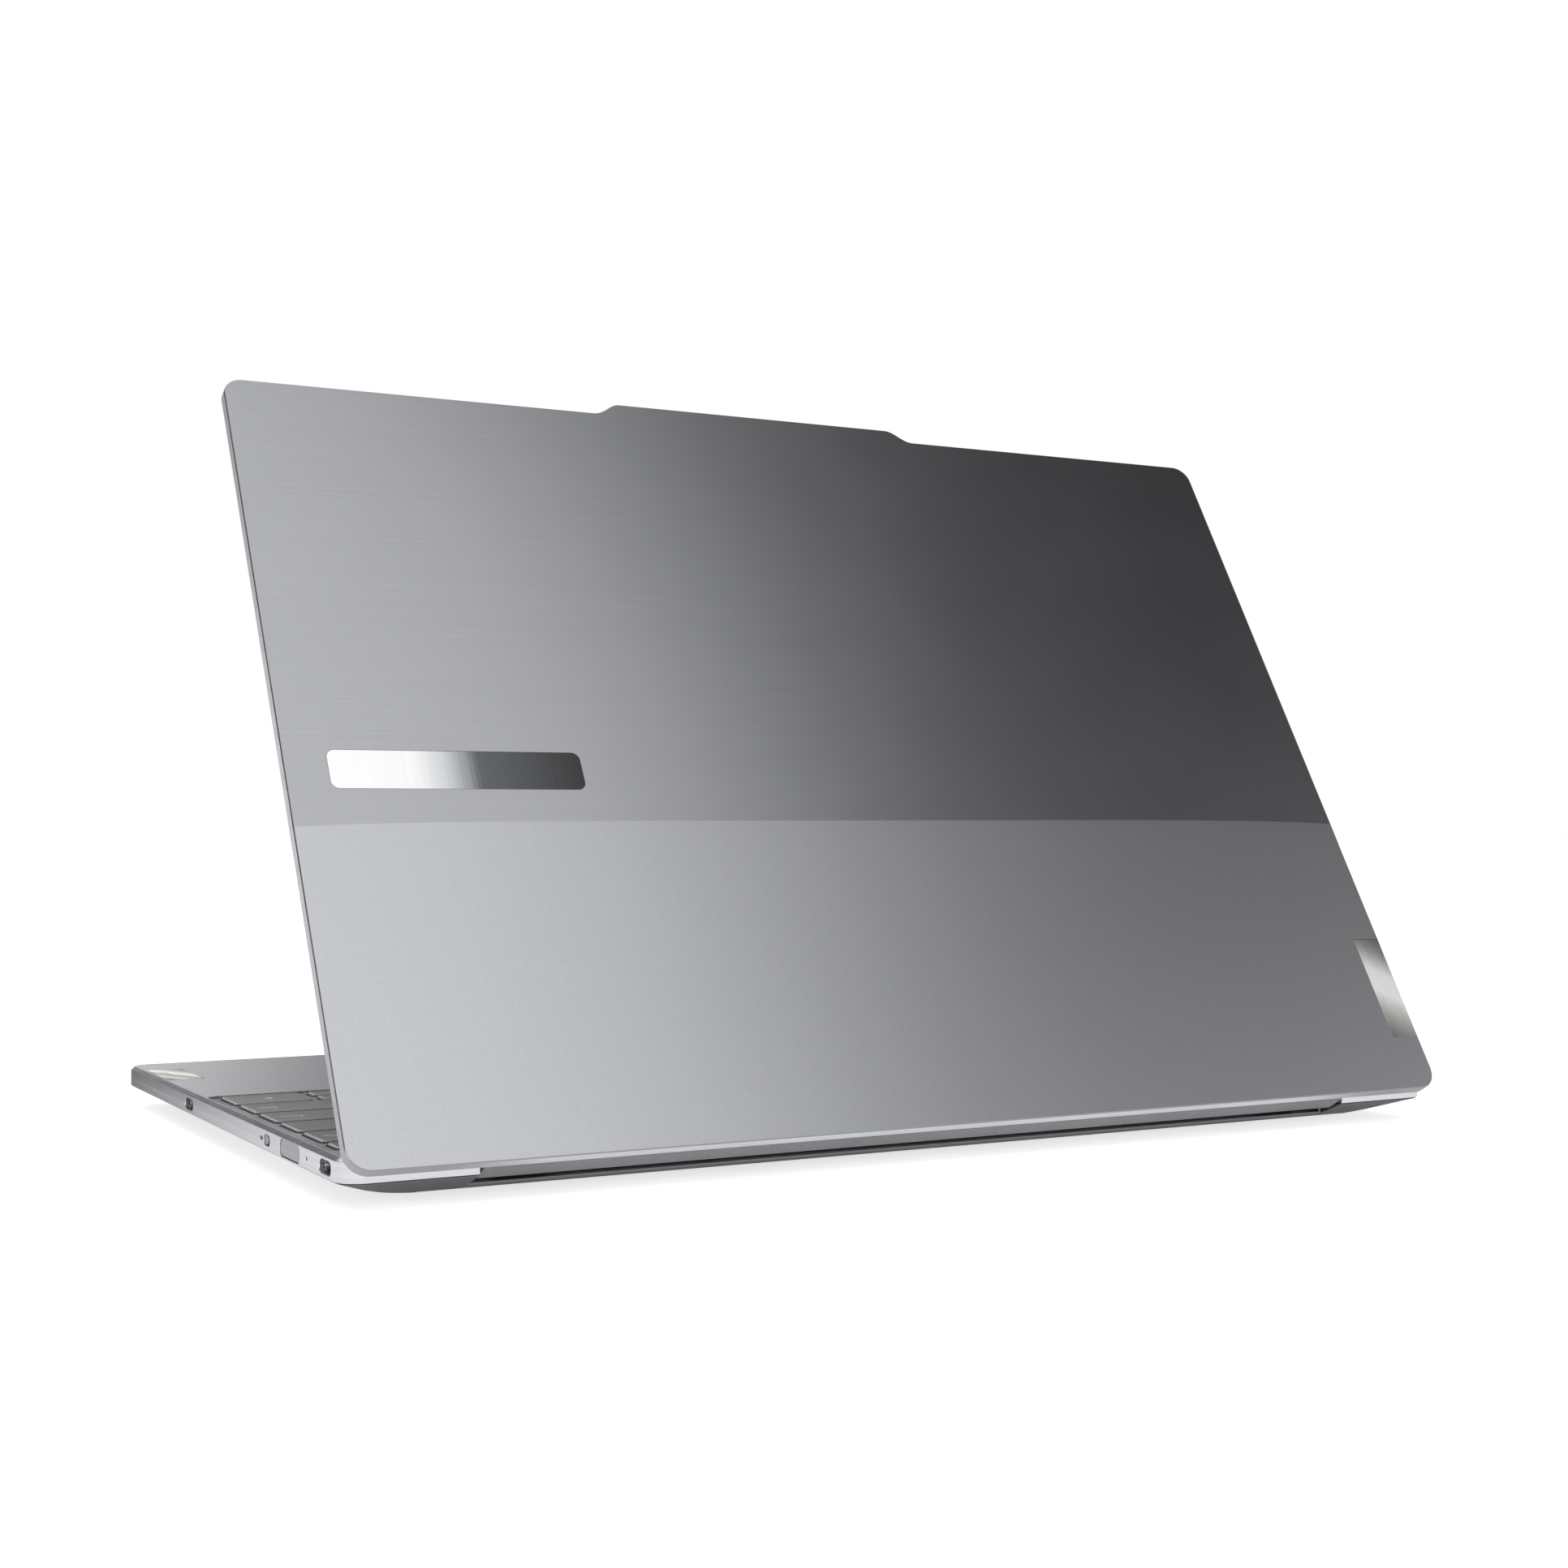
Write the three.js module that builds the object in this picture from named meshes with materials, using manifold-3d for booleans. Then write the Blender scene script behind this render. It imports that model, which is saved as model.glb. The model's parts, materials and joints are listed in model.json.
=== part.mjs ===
// Thin clamshell laptop computer with its lid part open, in millimetres.
// +X is the user's right, -Y the user's side, +Z up. The origin is at desk level,
// under the middle of the whole computer.

import * as THREE from "three";
import { mergeVertices } from "three/addons/utils/BufferGeometryUtils.js";
import Module from "manifold-3d";

const wasm = await Module();
wasm.setup();

// ---- Driving dimensions ----

const WIDTH = 293.4;
const HALF = WIDTH / 2;
const GAP = 0.1; // clearance between pieces fixed to each other

// Base, heights above the desk
const BASE_FRONT = -104.8;
const BASE_REAR = 100;
const BASE_CORNER = 5.5;
const FOOT_DROP = 1.2; // underside height above the desk
const SEAM_Z = 5.5; // top edge of the bottom cover
const SEAM_STEP = 0.45; // how far that edge sits inside the side band
const BAND_LOW = 5.75; // side band of the top cover
const BAND_HIGH = 10.1;
const DECK_Z = 10.95;
const DECK_CHAMFER = 0.95;
const WALL = 1.2;
const CAVITY_TOP = 9.7; // underside of the deck skin
const BEVEL_RUN = 11.1; // underside bevel, measured inward
const BEVEL_CORNER = 8;
const BOTTOM_SKIN = 1;

// Rear notch that the hinge cover fills
const NOTCH_HALF = 117.3;
const NOTCH_DECK_Y = 92.9;
const NOTCH_LIP_Y = 91.7;

// Hinge axis and lid, lid heights from the axis with the lid closed
const HINGE_Y = 97.45;
const HINGE_Z = 8;
const LID_REST_DEG = 60; // opening angle from closed
const LID_EDGE = 2.75; // rear edge of the closed lid, behind the axis
const LID_HEIGHT = 205.2;
const LID_OUT = 6.54;
const LID_IN = 3.49;
const LID_SKIN = 0.9;
const LID_RIM = 1.1;
const LID_CHAMFER = 0.25;
const LID_BOTTOM_CORNER = 5.5;
const LID_TOP_CORNER = 5;
const HUMP_RISE = 3.62;
const HUMP_TOP_HALF = 40.85;
const HUMP_FOOT_HALF = 49.2;

// Keyboard
const KEY_UNIT = 19.13; // pitch along a row
const KEY_PITCH = 18.1; // pitch between rows
const KEY_GAP = 2.1;
const KEY_DEPTH = KEY_PITCH - KEY_GAP + 0.3;
const FUNCTION_DEPTH = 9.4;
const FIRST_ROW_Y = -8.05; // middle of the row nearest the user
const KEY_TOP = 11.03;
const KEY_FOOT = 9;
const KEY_WEB = [8.75, 9.35];
const KEY_HOLE_GAP = 0.35;
const KEY_DRAFT = 0.5; // how far a keycap's top is drawn in
const KEYBOARD_HALF = 7.5 * KEY_UNIT;
const ARROW_UNIT = 21.65;
const WELL_Z = 10.43;
const WELL = { x0: -145.4, x1: 145.4, y0: -18.6, y1: 88, r: 3.5 };

// Touchpad and side controls
const PAD = { x0: -62, x1: 62, y0: -98.5, y1: -24.5, r: 3 };
const SIDE_Z = 7.95; // middle height of the ports and switches
const USB_RIGHT_Y = [-30.3, 88.5];
const USB_LEFT_Y = 88.5;
const JACK_Y = -30.3;
const POWER = { y0: 54.7, y1: 70, z0: 6.1, z1: 9.7, r: 1.5 };
const SWITCH = { y0: 41.6, y1: 46.2, z0: 6.75, z1: 9.15, r: 1.15 };
const LIGHT_Y = 75.4;
const PALM_PLATE = { x0: 135.75, x1: 145.15, y0: -86.7, y1: -59.8, r: 0.4 };

// ---- Outlines: lists of Vector2, counter-clockwise ----

function arcPoints(cx, cy, r, from, to, steps) {
  const points = [];
  for (let i = 0; i <= steps; i++) {
    const a = from + ((to - from) * i) / steps;
    points.push(new THREE.Vector2(cx + r * Math.cos(a), cy + r * Math.sin(a)));
  }
  return points;
}

function roundedRect({ x0, x1, y0, y1, r }, steps = 4) {
  const q = Math.PI / 2;
  return [
    ...arcPoints(x1 - r, y0 + r, r, -q, 0, steps),
    ...arcPoints(x1 - r, y1 - r, r, 0, q, steps),
    ...arcPoints(x0 + r, y1 - r, r, q, 2 * q, steps),
    ...arcPoints(x0 + r, y0 + r, r, 2 * q, 3 * q, steps),
  ];
}

function grown({ x0, x1, y0, y1, r }, d) {
  return { x0: x0 - d, x1: x1 + d, y0: y0 - d, y1: y1 + d, r: Math.max(r + d, 0.05) };
}

// Every corner moved inward by d, square to the two sides that meet there.
function inset(points, d) {
  return points.map((p, i) => {
    const before = points[(i + points.length - 1) % points.length];
    const after = points[(i + 1) % points.length];
    const a = p.clone().sub(before).normalize();
    const b = after.clone().sub(p).normalize();
    const side = new THREE.Vector2(-a.y - b.y, a.x + b.x).normalize();
    const reach = d / Math.max(0.2, -a.y * side.x + a.x * side.y);
    return p.clone().addScaledVector(side, reach);
  });
}

function circle(x, y, r, steps = 16) {
  return arcPoints(x, y, r, 0, 2 * Math.PI * (1 - 1 / steps), steps - 1);
}

// ---- Solids ----

function solid(geometry) {
  const bare = geometry.clone();
  bare.deleteAttribute("normal");
  bare.deleteAttribute("uv");
  const merged = mergeVertices(bare, 1e-4);
  return new wasm.Manifold(
    new wasm.Mesh({
      numProp: 3,
      vertProperties: merged.attributes.position.array,
      triVerts: new Uint32Array(merged.index.array),
    }),
  );
}

// A closed solid through rings of equal point count, each { points, z }, from low to high.
function loft(rings) {
  const count = rings[0].points.length;
  const position = [];
  for (const { points, z } of rings) {
    for (const p of points) position.push(p.x, p.y, z);
  }
  const index = [];
  for (let k = 0; k + 1 < rings.length; k++) {
    for (let i = 0; i < count; i++) {
      const j = (i + 1) % count;
      const [a, b, c, d] = [k * count + i, k * count + j, (k + 1) * count + j, (k + 1) * count + i];
      index.push(a, b, c, a, c, d);
    }
  }
  const top = (rings.length - 1) * count;
  for (const [a, b, c] of THREE.ShapeUtils.triangulateShape(rings[0].points, [])) index.push(a, c, b);
  for (const [a, b, c] of THREE.ShapeUtils.triangulateShape(rings.at(-1).points, [])) {
    index.push(top + a, top + b, top + c);
  }
  const geometry = new THREE.BufferGeometry();
  geometry.setAttribute("position", new THREE.Float32BufferAttribute(position, 3));
  geometry.setIndex(index);
  return solid(geometry);
}

function prism(points, z0, z1) {
  return loft([
    { points, z: z0 },
    { points, z: z1 },
  ]);
}

function box(x0, x1, y0, y1, z0, z1) {
  const geometry = new THREE.BoxGeometry(x1 - x0, y1 - y0, z1 - z0);
  return solid(geometry.translate((x0 + x1) / 2, (y0 + y1) / 2, (z0 + z1) / 2));
}

function disc(x, y, r, z0, z1, steps = 16) {
  return prism(circle(x, y, r, steps), z0, z1);
}

// An outline drawn in (y, z), run along X from x0 to x1.
function alongX(points, x0, x1) {
  const turned = prism(points, x0, x1);
  return turned.transform([0, 1, 0, 0, 0, 0, 1, 0, 1, 0, 0, 0, 0, 0, 0, 1]);
}

// A rounded opening {y0, y1, z0, z1, r} in a side wall, run along X.
function sideSlot({ y0, y1, z0, z1, r }, d, x0, x1, steps = 4) {
  const flat = grown({ x0: y0, x1: y1, y0: z0, y1: z1, r }, d);
  return alongX(roundedRect(flat, steps), x0, x1);
}

function join(solids) {
  return solids.reduce((a, b) => a.add(b));
}

function cut(body, tools) {
  return tools.reduce((a, b) => a.subtract(b), body);
}

function geometryOf(manifold) {
  const mesh = manifold.getMesh();
  const geometry = new THREE.BufferGeometry();
  const position = new Float32Array((mesh.vertProperties.length / mesh.numProp) * 3);
  for (let i = 0; i < position.length / 3; i++) {
    for (let k = 0; k < 3; k++) position[3 * i + k] = mesh.vertProperties[i * mesh.numProp + k];
  }
  geometry.setAttribute("position", new THREE.BufferAttribute(position, 3));
  geometry.setIndex(new THREE.BufferAttribute(new Uint32Array(mesh.triVerts), 1));
  geometry.computeVertexNormals();
  return geometry;
}

function finish(color, roughness, metalness) {
  return new THREE.MeshStandardMaterial({ color, roughness, metalness });
}

const FINISH = {
  bodyMetal: finish(0xc9cacc, 0.35, 0.9),
  polished: finish(0xe4e5e7, 0.12, 1),
  darkPlastic: finish(0x2c2d30, 0.5, 0),
  keycap: finish(0x6f7175, 0.55, 0),
  rubber: finish(0x1b1b1c, 0.9, 0),
  glass: finish(0x08090b, 0.05, 0),
  steel: finish(0x9a9c9f, 0.35, 1),
  copper: finish(0xb87245, 0.35, 1),
  board: finish(0x12303a, 0.6, 0),
  cell: finish(0x202226, 0.6, 0),
};

// A named mesh; a place given as {x, y, z} holds geometry drawn around its own origin.
function part(name, manifold, material, place = { x: 0, y: 0, z: 0 }) {
  const mesh = new THREE.Mesh(geometryOf(manifold), material);
  mesh.name = name;
  mesh.position.set(place.x, place.y, place.z);
  return mesh;
}

// ---- Key layout ----

// Key widths of a row in units, left to right, turned into {x0, x1} cells.
function cells(widths, start = -KEYBOARD_HALF) {
  let x = start;
  return widths.map((width) => {
    const cell = { x0: x + KEY_GAP / 2, x1: x + width - KEY_GAP / 2 };
    x += width;
    return cell;
  });
}

function unitCells(widths) {
  return cells(widths.map((width) => width * KEY_UNIT));
}

function keysAt(row, columns, y, depth) {
  return { name: row, y, depth, keys: columns.map((c) => ({ ...c, y0: y - depth / 2, y1: y + depth / 2 })) };
}

const rowY = (row) => FIRST_ROW_Y + row * KEY_PITCH;
const FUNCTION_Y = rowY(4) + KEY_DEPTH / 2 + KEY_GAP - 0.3 + FUNCTION_DEPTH / 2;

// The row nearest the user: modifiers, space bar, modifiers and the arrow group.
function frontRow() {
  const wide = 1.25 * KEY_UNIT;
  const space = 2 * KEYBOARD_HALF - wide - 5 * KEY_UNIT - 3 * ARROW_UNIT;
  const widths = [wide, KEY_UNIT, KEY_UNIT, KEY_UNIT, space, KEY_UNIT, KEY_UNIT];
  const all = cells([...widths, ARROW_UNIT, ARROW_UNIT, ARROW_UNIT]);
  const y = rowY(0);
  const half = { depth: 7.5, off: 4.4 };
  const full = (list) => list.map((c) => ({ ...c, y0: y - KEY_DEPTH / 2, y1: y + KEY_DEPTH / 2 }));
  const split = [-half.off, half.off].map((off) => ({
    ...all[8],
    y0: y + off - half.depth / 2,
    y1: y + off + half.depth / 2,
  }));
  return [
    { name: "modifier_keys_left", y, depth: KEY_DEPTH, keys: full(all.slice(0, 4)) },
    { name: "space_bar", y, depth: KEY_DEPTH, keys: full(all.slice(4, 5)) },
    { name: "modifier_keys_right", y, depth: KEY_DEPTH, keys: [...full(all.slice(5, 8)), ...split] },
    { name: "right_arrow_key", y, depth: KEY_DEPTH, keys: full(all.slice(9)) },
  ];
}

function keyGroups() {
  const ones = (n) => Array(n).fill(1);
  const lower = unitCells([2.25, ...ones(10), 2.75]);
  const home = unitCells([1.75, ...ones(11), 2.25]);
  const upper = unitCells([1.5, ...ones(12), 1.5]);
  const number = unitCells([...ones(13), 2]);
  const functions = unitCells([1.5, ...ones(12), 1.5]);
  return [
    ...frontRow(),
    keysAt("lower_letter_keys", lower, rowY(1), KEY_DEPTH),
    keysAt("home_letter_keys", home.slice(0, -1), rowY(2), KEY_DEPTH),
    keysAt("enter_key", home.slice(-1), rowY(2), KEY_DEPTH),
    keysAt("upper_letter_keys", upper, rowY(3), KEY_DEPTH),
    keysAt("number_keys", number.slice(0, -1), rowY(4), KEY_DEPTH),
    keysAt("backspace_key", number.slice(-1), rowY(4), KEY_DEPTH),
    keysAt("function_keys", functions, FUNCTION_Y, FUNCTION_DEPTH),
  ];
}

const KEY_GROUPS = keyGroups();

// One keycap, its top drawn in on all four sides.
function keycap({ x0, x1, y0, y1 }) {
  const foot = roundedRect({ x0, x1, y0, y1, r: 1.5 }, 1);
  return loft([
    { points: foot, z: KEY_FOOT },
    { points: inset(foot, KEY_DRAFT), z: KEY_TOP },
  ]);
}

// The caps of one group, tied together by a web that stays under the deck.
function keyGroup(group) {
  const x0 = Math.min(...group.keys.map((k) => k.x0));
  const x1 = Math.max(...group.keys.map((k) => k.x1));
  const reach = group.depth * 0.36;
  const web = box(x0 + 1, x1 - 1, group.y - reach, group.y + reach, ...KEY_WEB);
  return part(group.name, join([web, ...group.keys.map(keycap)]), FINISH.keycap);
}

function keyHoles() {
  return KEY_GROUPS.flatMap((group) =>
    group.keys.map(({ x0, x1, y0, y1 }) => {
      const d = KEY_HOLE_GAP;
      return box(x0 - d, x1 + d, y0 - d, y1 + d, CAVITY_TOP - 1, DECK_Z + 1);
    }),
  );
}

// ---- Base shells ----

const BASE_RECT = { x0: -HALF, x1: HALF, y0: BASE_FRONT, y1: BASE_REAR, r: BASE_CORNER };

const SCREWS = [
  [-128, -86],
  [128, -86],
  [-70, -21.2],
  [70, -21.2],
  [-128, 86.6],
  [-46, 86.6],
  [46, 86.6],
  [128, 86.6],
];
const SCREW_HEAD_R = 1.9;
const SCREW_HEAD = 0.5;
const SCREW_SHANK_R = 0.8;
const BOSS_R = 1.5;
const BOSS_FOOT = 3.2;

// Openings in the two side walls, run through the wall.
function sideOpenings() {
  const right = [HALF - WALL - 1, HALF + 1];
  const left = [-HALF - 1, -HALF + WALL + 1];
  return [
    ...USB_RIGHT_Y.map((y) => sideSlot(usbMouth(y), 0, ...right)),
    sideSlot(usbMouth(USB_LEFT_Y), 0, ...left),
    alongX(circle(JACK_Y, SIDE_Z, 1.85), ...left),
    sideSlot(POWER, 0.12, ...right),
    sideSlot(SWITCH, 0, ...right),
    alongX(circle(LIGHT_Y, SIDE_Z, 0.42, 10), ...right),
  ];
}

function usbMouth(y) {
  return { y0: y - 4.1, y1: y + 4.1, z0: SIDE_Z - 1.42, z1: SIDE_Z + 1.42, r: 1.4 };
}

function exhaustSlots() {
  const slots = [];
  for (const side of [-1, 1]) {
    for (let i = 0; i < 9; i++) {
      const x = side * (30 + 7 * i);
      slots.push(box(x - 2.6, x + 2.6, NOTCH_DECK_Y - 3, NOTCH_DECK_Y + 1, 6.4, 9));
    }
  }
  return slots;
}

// Passages through the notch walls for the two hinge brackets.
function bracketPassages() {
  return [-1, 1].map((side) => {
    const x = side * (KNUCKLE_X[0] + KNUCKLE_X[1]) * 0.5;
    return box(x - 6.5, x + 6.5, NOTCH_LIP_Y - 3, NOTCH_DECK_Y + 1, 4, CAVITY_TOP);
  });
}

function topCover() {
  const rim = roundedRect(BASE_RECT);
  const shell = loft([
    { points: rim, z: BAND_LOW },
    { points: rim, z: BAND_HIGH },
    { points: inset(rim, DECK_CHAMFER), z: DECK_Z },
  ]);
  const notchWall = NOTCH_DECK_Y - WALL;
  const cavity = prism(roundedRect(grown(BASE_RECT, -WALL)), BAND_LOW - 1, CAVITY_TOP).subtract(
    box(-NOTCH_HALF - WALL, NOTCH_HALF + WALL, notchWall, BASE_REAR, 0, DECK_Z),
  );
  const bosses = SCREWS.map(([x, y]) => disc(x, y, BOSS_R, BOSS_FOOT, CAVITY_TOP + 0.2, 12));
  const bores = SCREWS.map(([x, y]) => disc(x, y, SCREW_SHANK_R + GAP, BOSS_FOOT - 1, CAVITY_TOP - 0.4, 12));
  const hollow = cut(shell, [
    cavity,
    box(-NOTCH_HALF, NOTCH_HALF, NOTCH_DECK_Y, BASE_REAR + 1, 0, DECK_Z + 1),
    prism(roundedRect(WELL), WELL_Z, DECK_Z + 1),
    prism(roundedRect(grown(PAD, 0.3)), CAVITY_TOP - 1, DECK_Z + 1),
    prism(roundedRect(grown(PALM_PLATE, GAP), 2), DECK_Z - 0.45, DECK_Z + 1),
    ...keyHoles(),
    ...sideOpenings(),
    ...exhaustSlots(),
    ...bracketPassages(),
  ]);
  return part("top_cover", cut(join([hollow, ...bosses]), bores), FINISH.bodyMetal);
}

function ventSlots() {
  const slots = [];
  for (const side of [-1, 1]) {
    for (let i = 0; i < 9; i++) {
      const x = side * (71 + 6 * i);
      slots.push(box(x - 1.6, x + 1.6, 46, 62, 0, 4));
    }
    for (let i = 0; i < 6; i++) {
      const x = side * (96 + 4.8 * i);
      slots.push(box(x - 0.9, x + 0.9, -72, -62, 0, 4));
    }
  }
  return slots;
}

const FEET = {
  foot_front: { x0: -105, x1: 105, y0: -83, y1: -76.5, r: 3 },
  foot_rear: { x0: -105, x1: 105, y0: 72, y1: 78.5, r: 3 },
};
const FOOT_SINK = 0.4; // how deep a foot sits in its groove

function bottomCover() {
  const lip = grown(BASE_RECT, -SEAM_STEP);
  const flat = { ...grown(BASE_RECT, -BEVEL_RUN), r: BEVEL_CORNER };
  const shell = loft([
    { points: roundedRect(flat), z: FOOT_DROP },
    { points: roundedRect(lip), z: SEAM_Z - 0.1 },
    { points: roundedRect(lip), z: SEAM_Z },
  ]);
  const innerLip = grown(lip, -WALL);
  const cavity = loft([
    { points: roundedRect(grown(flat, -0.6)), z: FOOT_DROP + BOTTOM_SKIN },
    { points: roundedRect(innerLip), z: SEAM_Z - 0.1 },
    { points: roundedRect(innerLip), z: SEAM_Z + 1 },
  ]).subtract(box(-NOTCH_HALF - WALL, NOTCH_HALF + WALL, NOTCH_LIP_Y - WALL, BASE_REAR, 0, SEAM_Z + 2));
  return part(
    "bottom_cover",
    cut(shell, [
      cavity,
      box(-NOTCH_HALF, NOTCH_HALF, NOTCH_LIP_Y, BASE_REAR + 1, 0, SEAM_Z + 1),
      ...SCREWS.map(([x, y]) => disc(x, y, SCREW_HEAD_R + GAP, 0, FOOT_DROP + SCREW_HEAD + GAP, 16)),
      ...SCREWS.map(([x, y]) => disc(x, y, SCREW_SHANK_R + GAP, 0, 4, 12)),
      ...Object.values(FEET).map((f) => prism(roundedRect(grown(f, 0.15), 3), 0, FOOT_DROP + FOOT_SINK + GAP)),
      ...ventSlots(),
      ...bracketPassages(),
    ]),
    FINISH.bodyMetal,
  );
}

function foot(name) {
  const rim = roundedRect(FEET[name], 3);
  const body = loft([
    { points: inset(rim, 0.4), z: 0 },
    { points: rim, z: 0.4 },
    { points: rim, z: FOOT_DROP + FOOT_SINK },
  ]);
  return part(name, body, FINISH.rubber);
}

// Flat-headed screw with a hex recess, head down.
function screw(number) {
  const [x, y] = SCREWS[number - 1];
  const head = disc(0, 0, SCREW_HEAD_R, 0, SCREW_HEAD);
  const shank = disc(0, 0, SCREW_SHANK_R, SCREW_HEAD - 0.1, 7.4, 8);
  const recess = disc(0, 0, 0.8, -1, 0.3, 6);
  const body = join([head, shank]).subtract(recess);
  return part(`screw_${number}`, body, FINISH.steel, { x, y, z: FOOT_DROP });
}

// ---- Base fittings ----

function keyboardPlate() {
  const plate = box(-142.6, 142.6, -16.9, 83.75, 6.6, 7);
  return part("keyboard_plate", plate, FINISH.steel);
}

function touchpad() {
  const rim = roundedRect(PAD);
  const glass = loft([
    { points: rim, z: 9.9 },
    { points: rim, z: 10.72 },
    { points: inset(rim, 0.12), z: 10.82 },
  ]);
  const board = box(-55, 55, -92, -31, 9, 9.9);
  return part("touchpad", join([glass, board]), FINISH.bodyMetal);
}

function palmRestPlate() {
  const rim = roundedRect(PALM_PLATE, 2);
  return part("palm_rest_plate", prism(rim, DECK_Z - 0.35, DECK_Z + 0.03), FINISH.polished);
}

// Receptacle: a rounded metal tube, closed at the back, with a tongue inside. Mouth towards +X.
function usbPort(name, x, y, side) {
  const shell = { y0: -4.55, y1: 4.55, z0: -1.7, z1: 1.7, r: 1.65 };
  const length = 7.4;
  const tube = sideSlot(shell, 0, -length, 0).subtract(sideSlot(shell, -0.32, -length + 0.6, 1));
  const tongue = box(-length + 0.3, -0.9, -3.3, 3.3, -0.35, 0.35);
  const body = part(name, tube.add(tongue), FINISH.steel, { x, y, z: SIDE_Z });
  body.rotation.z = side > 0 ? 0 : Math.PI;
  return body;
}

function audioJack() {
  const x = -HALF + WALL + 0.2;
  const barrel = alongX(circle(JACK_Y, SIDE_Z, 2.35), x - 0.9, x + 1.4);
  const block = box(x, x + 12, JACK_Y - 3, JACK_Y + 3, SIDE_Z - 2.35, CAVITY_TOP - 0.3);
  const nose = barrel.intersect(alongX(circle(JACK_Y, SIDE_Z, 1.75), x - 2, x + 3));
  const bore = alongX(circle(JACK_Y, SIDE_Z, 1.45), x - 2, x + 11);
  return part("audio_jack", join([block, nose]).subtract(bore), FINISH.darkPlastic);
}

function powerLightGuide() {
  const wall = HALF - WALL;
  const rod = alongX(circle(LIGHT_Y, SIDE_Z, 0.32, 10), wall - 1.6, HALF - 0.15);
  const block = box(wall - 2.6, wall - 1.5, LIGHT_Y - 1.4, LIGHT_Y + 1.4, 7, 8.8);
  return part("power_light_guide", rod.add(block), FINISH.glass);
}

function powerButton() {
  const cap = sideSlot(POWER, 0, HALF - WALL - 0.8, HALF - 0.12);
  const flange = sideSlot(POWER, 0.5, HALF - WALL - 1.4, HALF - WALL - 0.3);
  const trimmed = flange.intersect(box(0, HALF, 50, 75, POWER.z0 - 0.3, CAVITY_TOP - 0.2));
  return part("power_button", cap.add(trimmed), FINISH.bodyMetal);
}

// Slide switch: a short knob in its slot, on a hidden carrier.
function cameraSwitch() {
  const knob = sideSlot({ ...SWITCH, y0: SWITCH.y0 + 0.15, y1: SWITCH.y1 - 1.6 }, -0.12, HALF - 2, HALF - 0.1);
  const carrier = box(HALF - WALL - 1.6, HALF - WALL - 0.3, SWITCH.y0 - 1, SWITCH.y1 - 0.6, 6.4, 9.4);
  return part("camera_switch", knob.add(carrier), FINISH.bodyMetal);
}

function batteryPack() {
  const cellsX = [-111, -67, -23, 23, 67, 111];
  const pouches = cellsX.map((x) => {
    const rect = { x0: x - 20.5, x1: x + 20.5, y0: -58, y1: -24, r: 2 };
    return prism(roundedRect(rect, 2), 3, 6.2);
  });
  const frame = box(-132, 132, -60, -22.8, 2.6, 3.4);
  const strip = box(-132, 132, -22.9, -19, 2.6, 5.4);
  const clear = SCREWS.slice(2, 4).map(([x, y]) => disc(x, y, 2.6, 0, 8));
  return part("battery_pack", cut(join([frame, strip, ...pouches]), clear), FINISH.cell);
}

const FANS = { fan_left: -95, fan_right: 95 };
const FAN_Y = 56;
const FAN_R = 23;

function motherboard() {
  const board = box(-118, 118, 22, 84, 3, 3.8);
  const chips = [
    [-14, 14, 40, 66, 5],
    [-44, -24, 44, 58, 4.8],
    [24, 44, 44, 58, 4.8],
    [-60, -30, 70, 78, 4.6],
    [30, 60, 70, 78, 4.6],
    [-10, 10, 72, 80, 4.4],
  ].map(([x0, x1, y0, y1, z]) => box(x0, x1, y0, y1, 3.7, z));
  const fanHoles = Object.values(FANS).map((x) => box(x - FAN_R - 3, x + FAN_R + 3, FAN_Y - 27, 90, 0, 8));
  return part("motherboard", cut(join([board, ...chips]), fanHoles), FINISH.board);
}

// Flat heat pipe over the processor, bent down to the fin stacks of both fans.
function heatPipe() {
  const points = [
    new THREE.Vector2(-66, 79.5),
    new THREE.Vector2(-52, 68),
    new THREE.Vector2(-16, 56),
    new THREE.Vector2(16, 56),
    new THREE.Vector2(52, 68),
    new THREE.Vector2(66, 79.5),
  ];
  const curve = new THREE.CatmullRomCurve3(points.map((p) => new THREE.Vector3(p.x, p.y, 0)));
  const left = [];
  const right = [];
  const steps = 20;
  for (let i = 0; i <= steps; i++) {
    const p = curve.getPoint(i / steps);
    const t = curve.getTangent(i / steps);
    left.push(new THREE.Vector2(p.x - 3 * t.y, p.y + 3 * t.x));
    right.unshift(new THREE.Vector2(p.x + 3 * t.y, p.y - 3 * t.x));
  }
  const outline = [...right, ...left].reverse();
  const ordered = THREE.ShapeUtils.isClockWise(outline) ? outline.reverse() : outline;
  const pad = box(-15, 15, 42, 64, 5.1, 5.5);
  return part("heat_pipe", prism(ordered, 5.3, 6.3).add(pad), FINISH.copper);
}

function fanHousing(name) {
  const rect = { x0: -25, x1: 25, y0: -25, y1: 25, r: 8 };
  const shell = prism(roundedRect(rect, 3), 2.5, 6.3);
  const chamber = disc(0, 0, FAN_R + 0.6, 2.9, 5.9, 24);
  const mouth = box(-20, 20, 10, 26, 2.9, 5.9);
  const eyes = [disc(0, 0, 15, 5.5, 7, 20), disc(0, 0, 13, 2, 3.2, 20)];
  const spokes = [0, 1, 2].map((i) => box(-0.9, 0.9, 0, 14, 2.5, 2.9).rotate([0, 0, 120 * i]));
  const hub = disc(0, 0, 4, 2.5, 3, 12);
  const body = join([cut(shell, [chamber, mouth, ...eyes]), hub, ...spokes]);
  return part(`${name}_housing`, body, FINISH.darkPlastic, { x: FANS[name], y: FAN_Y, z: 0 });
}

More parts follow.
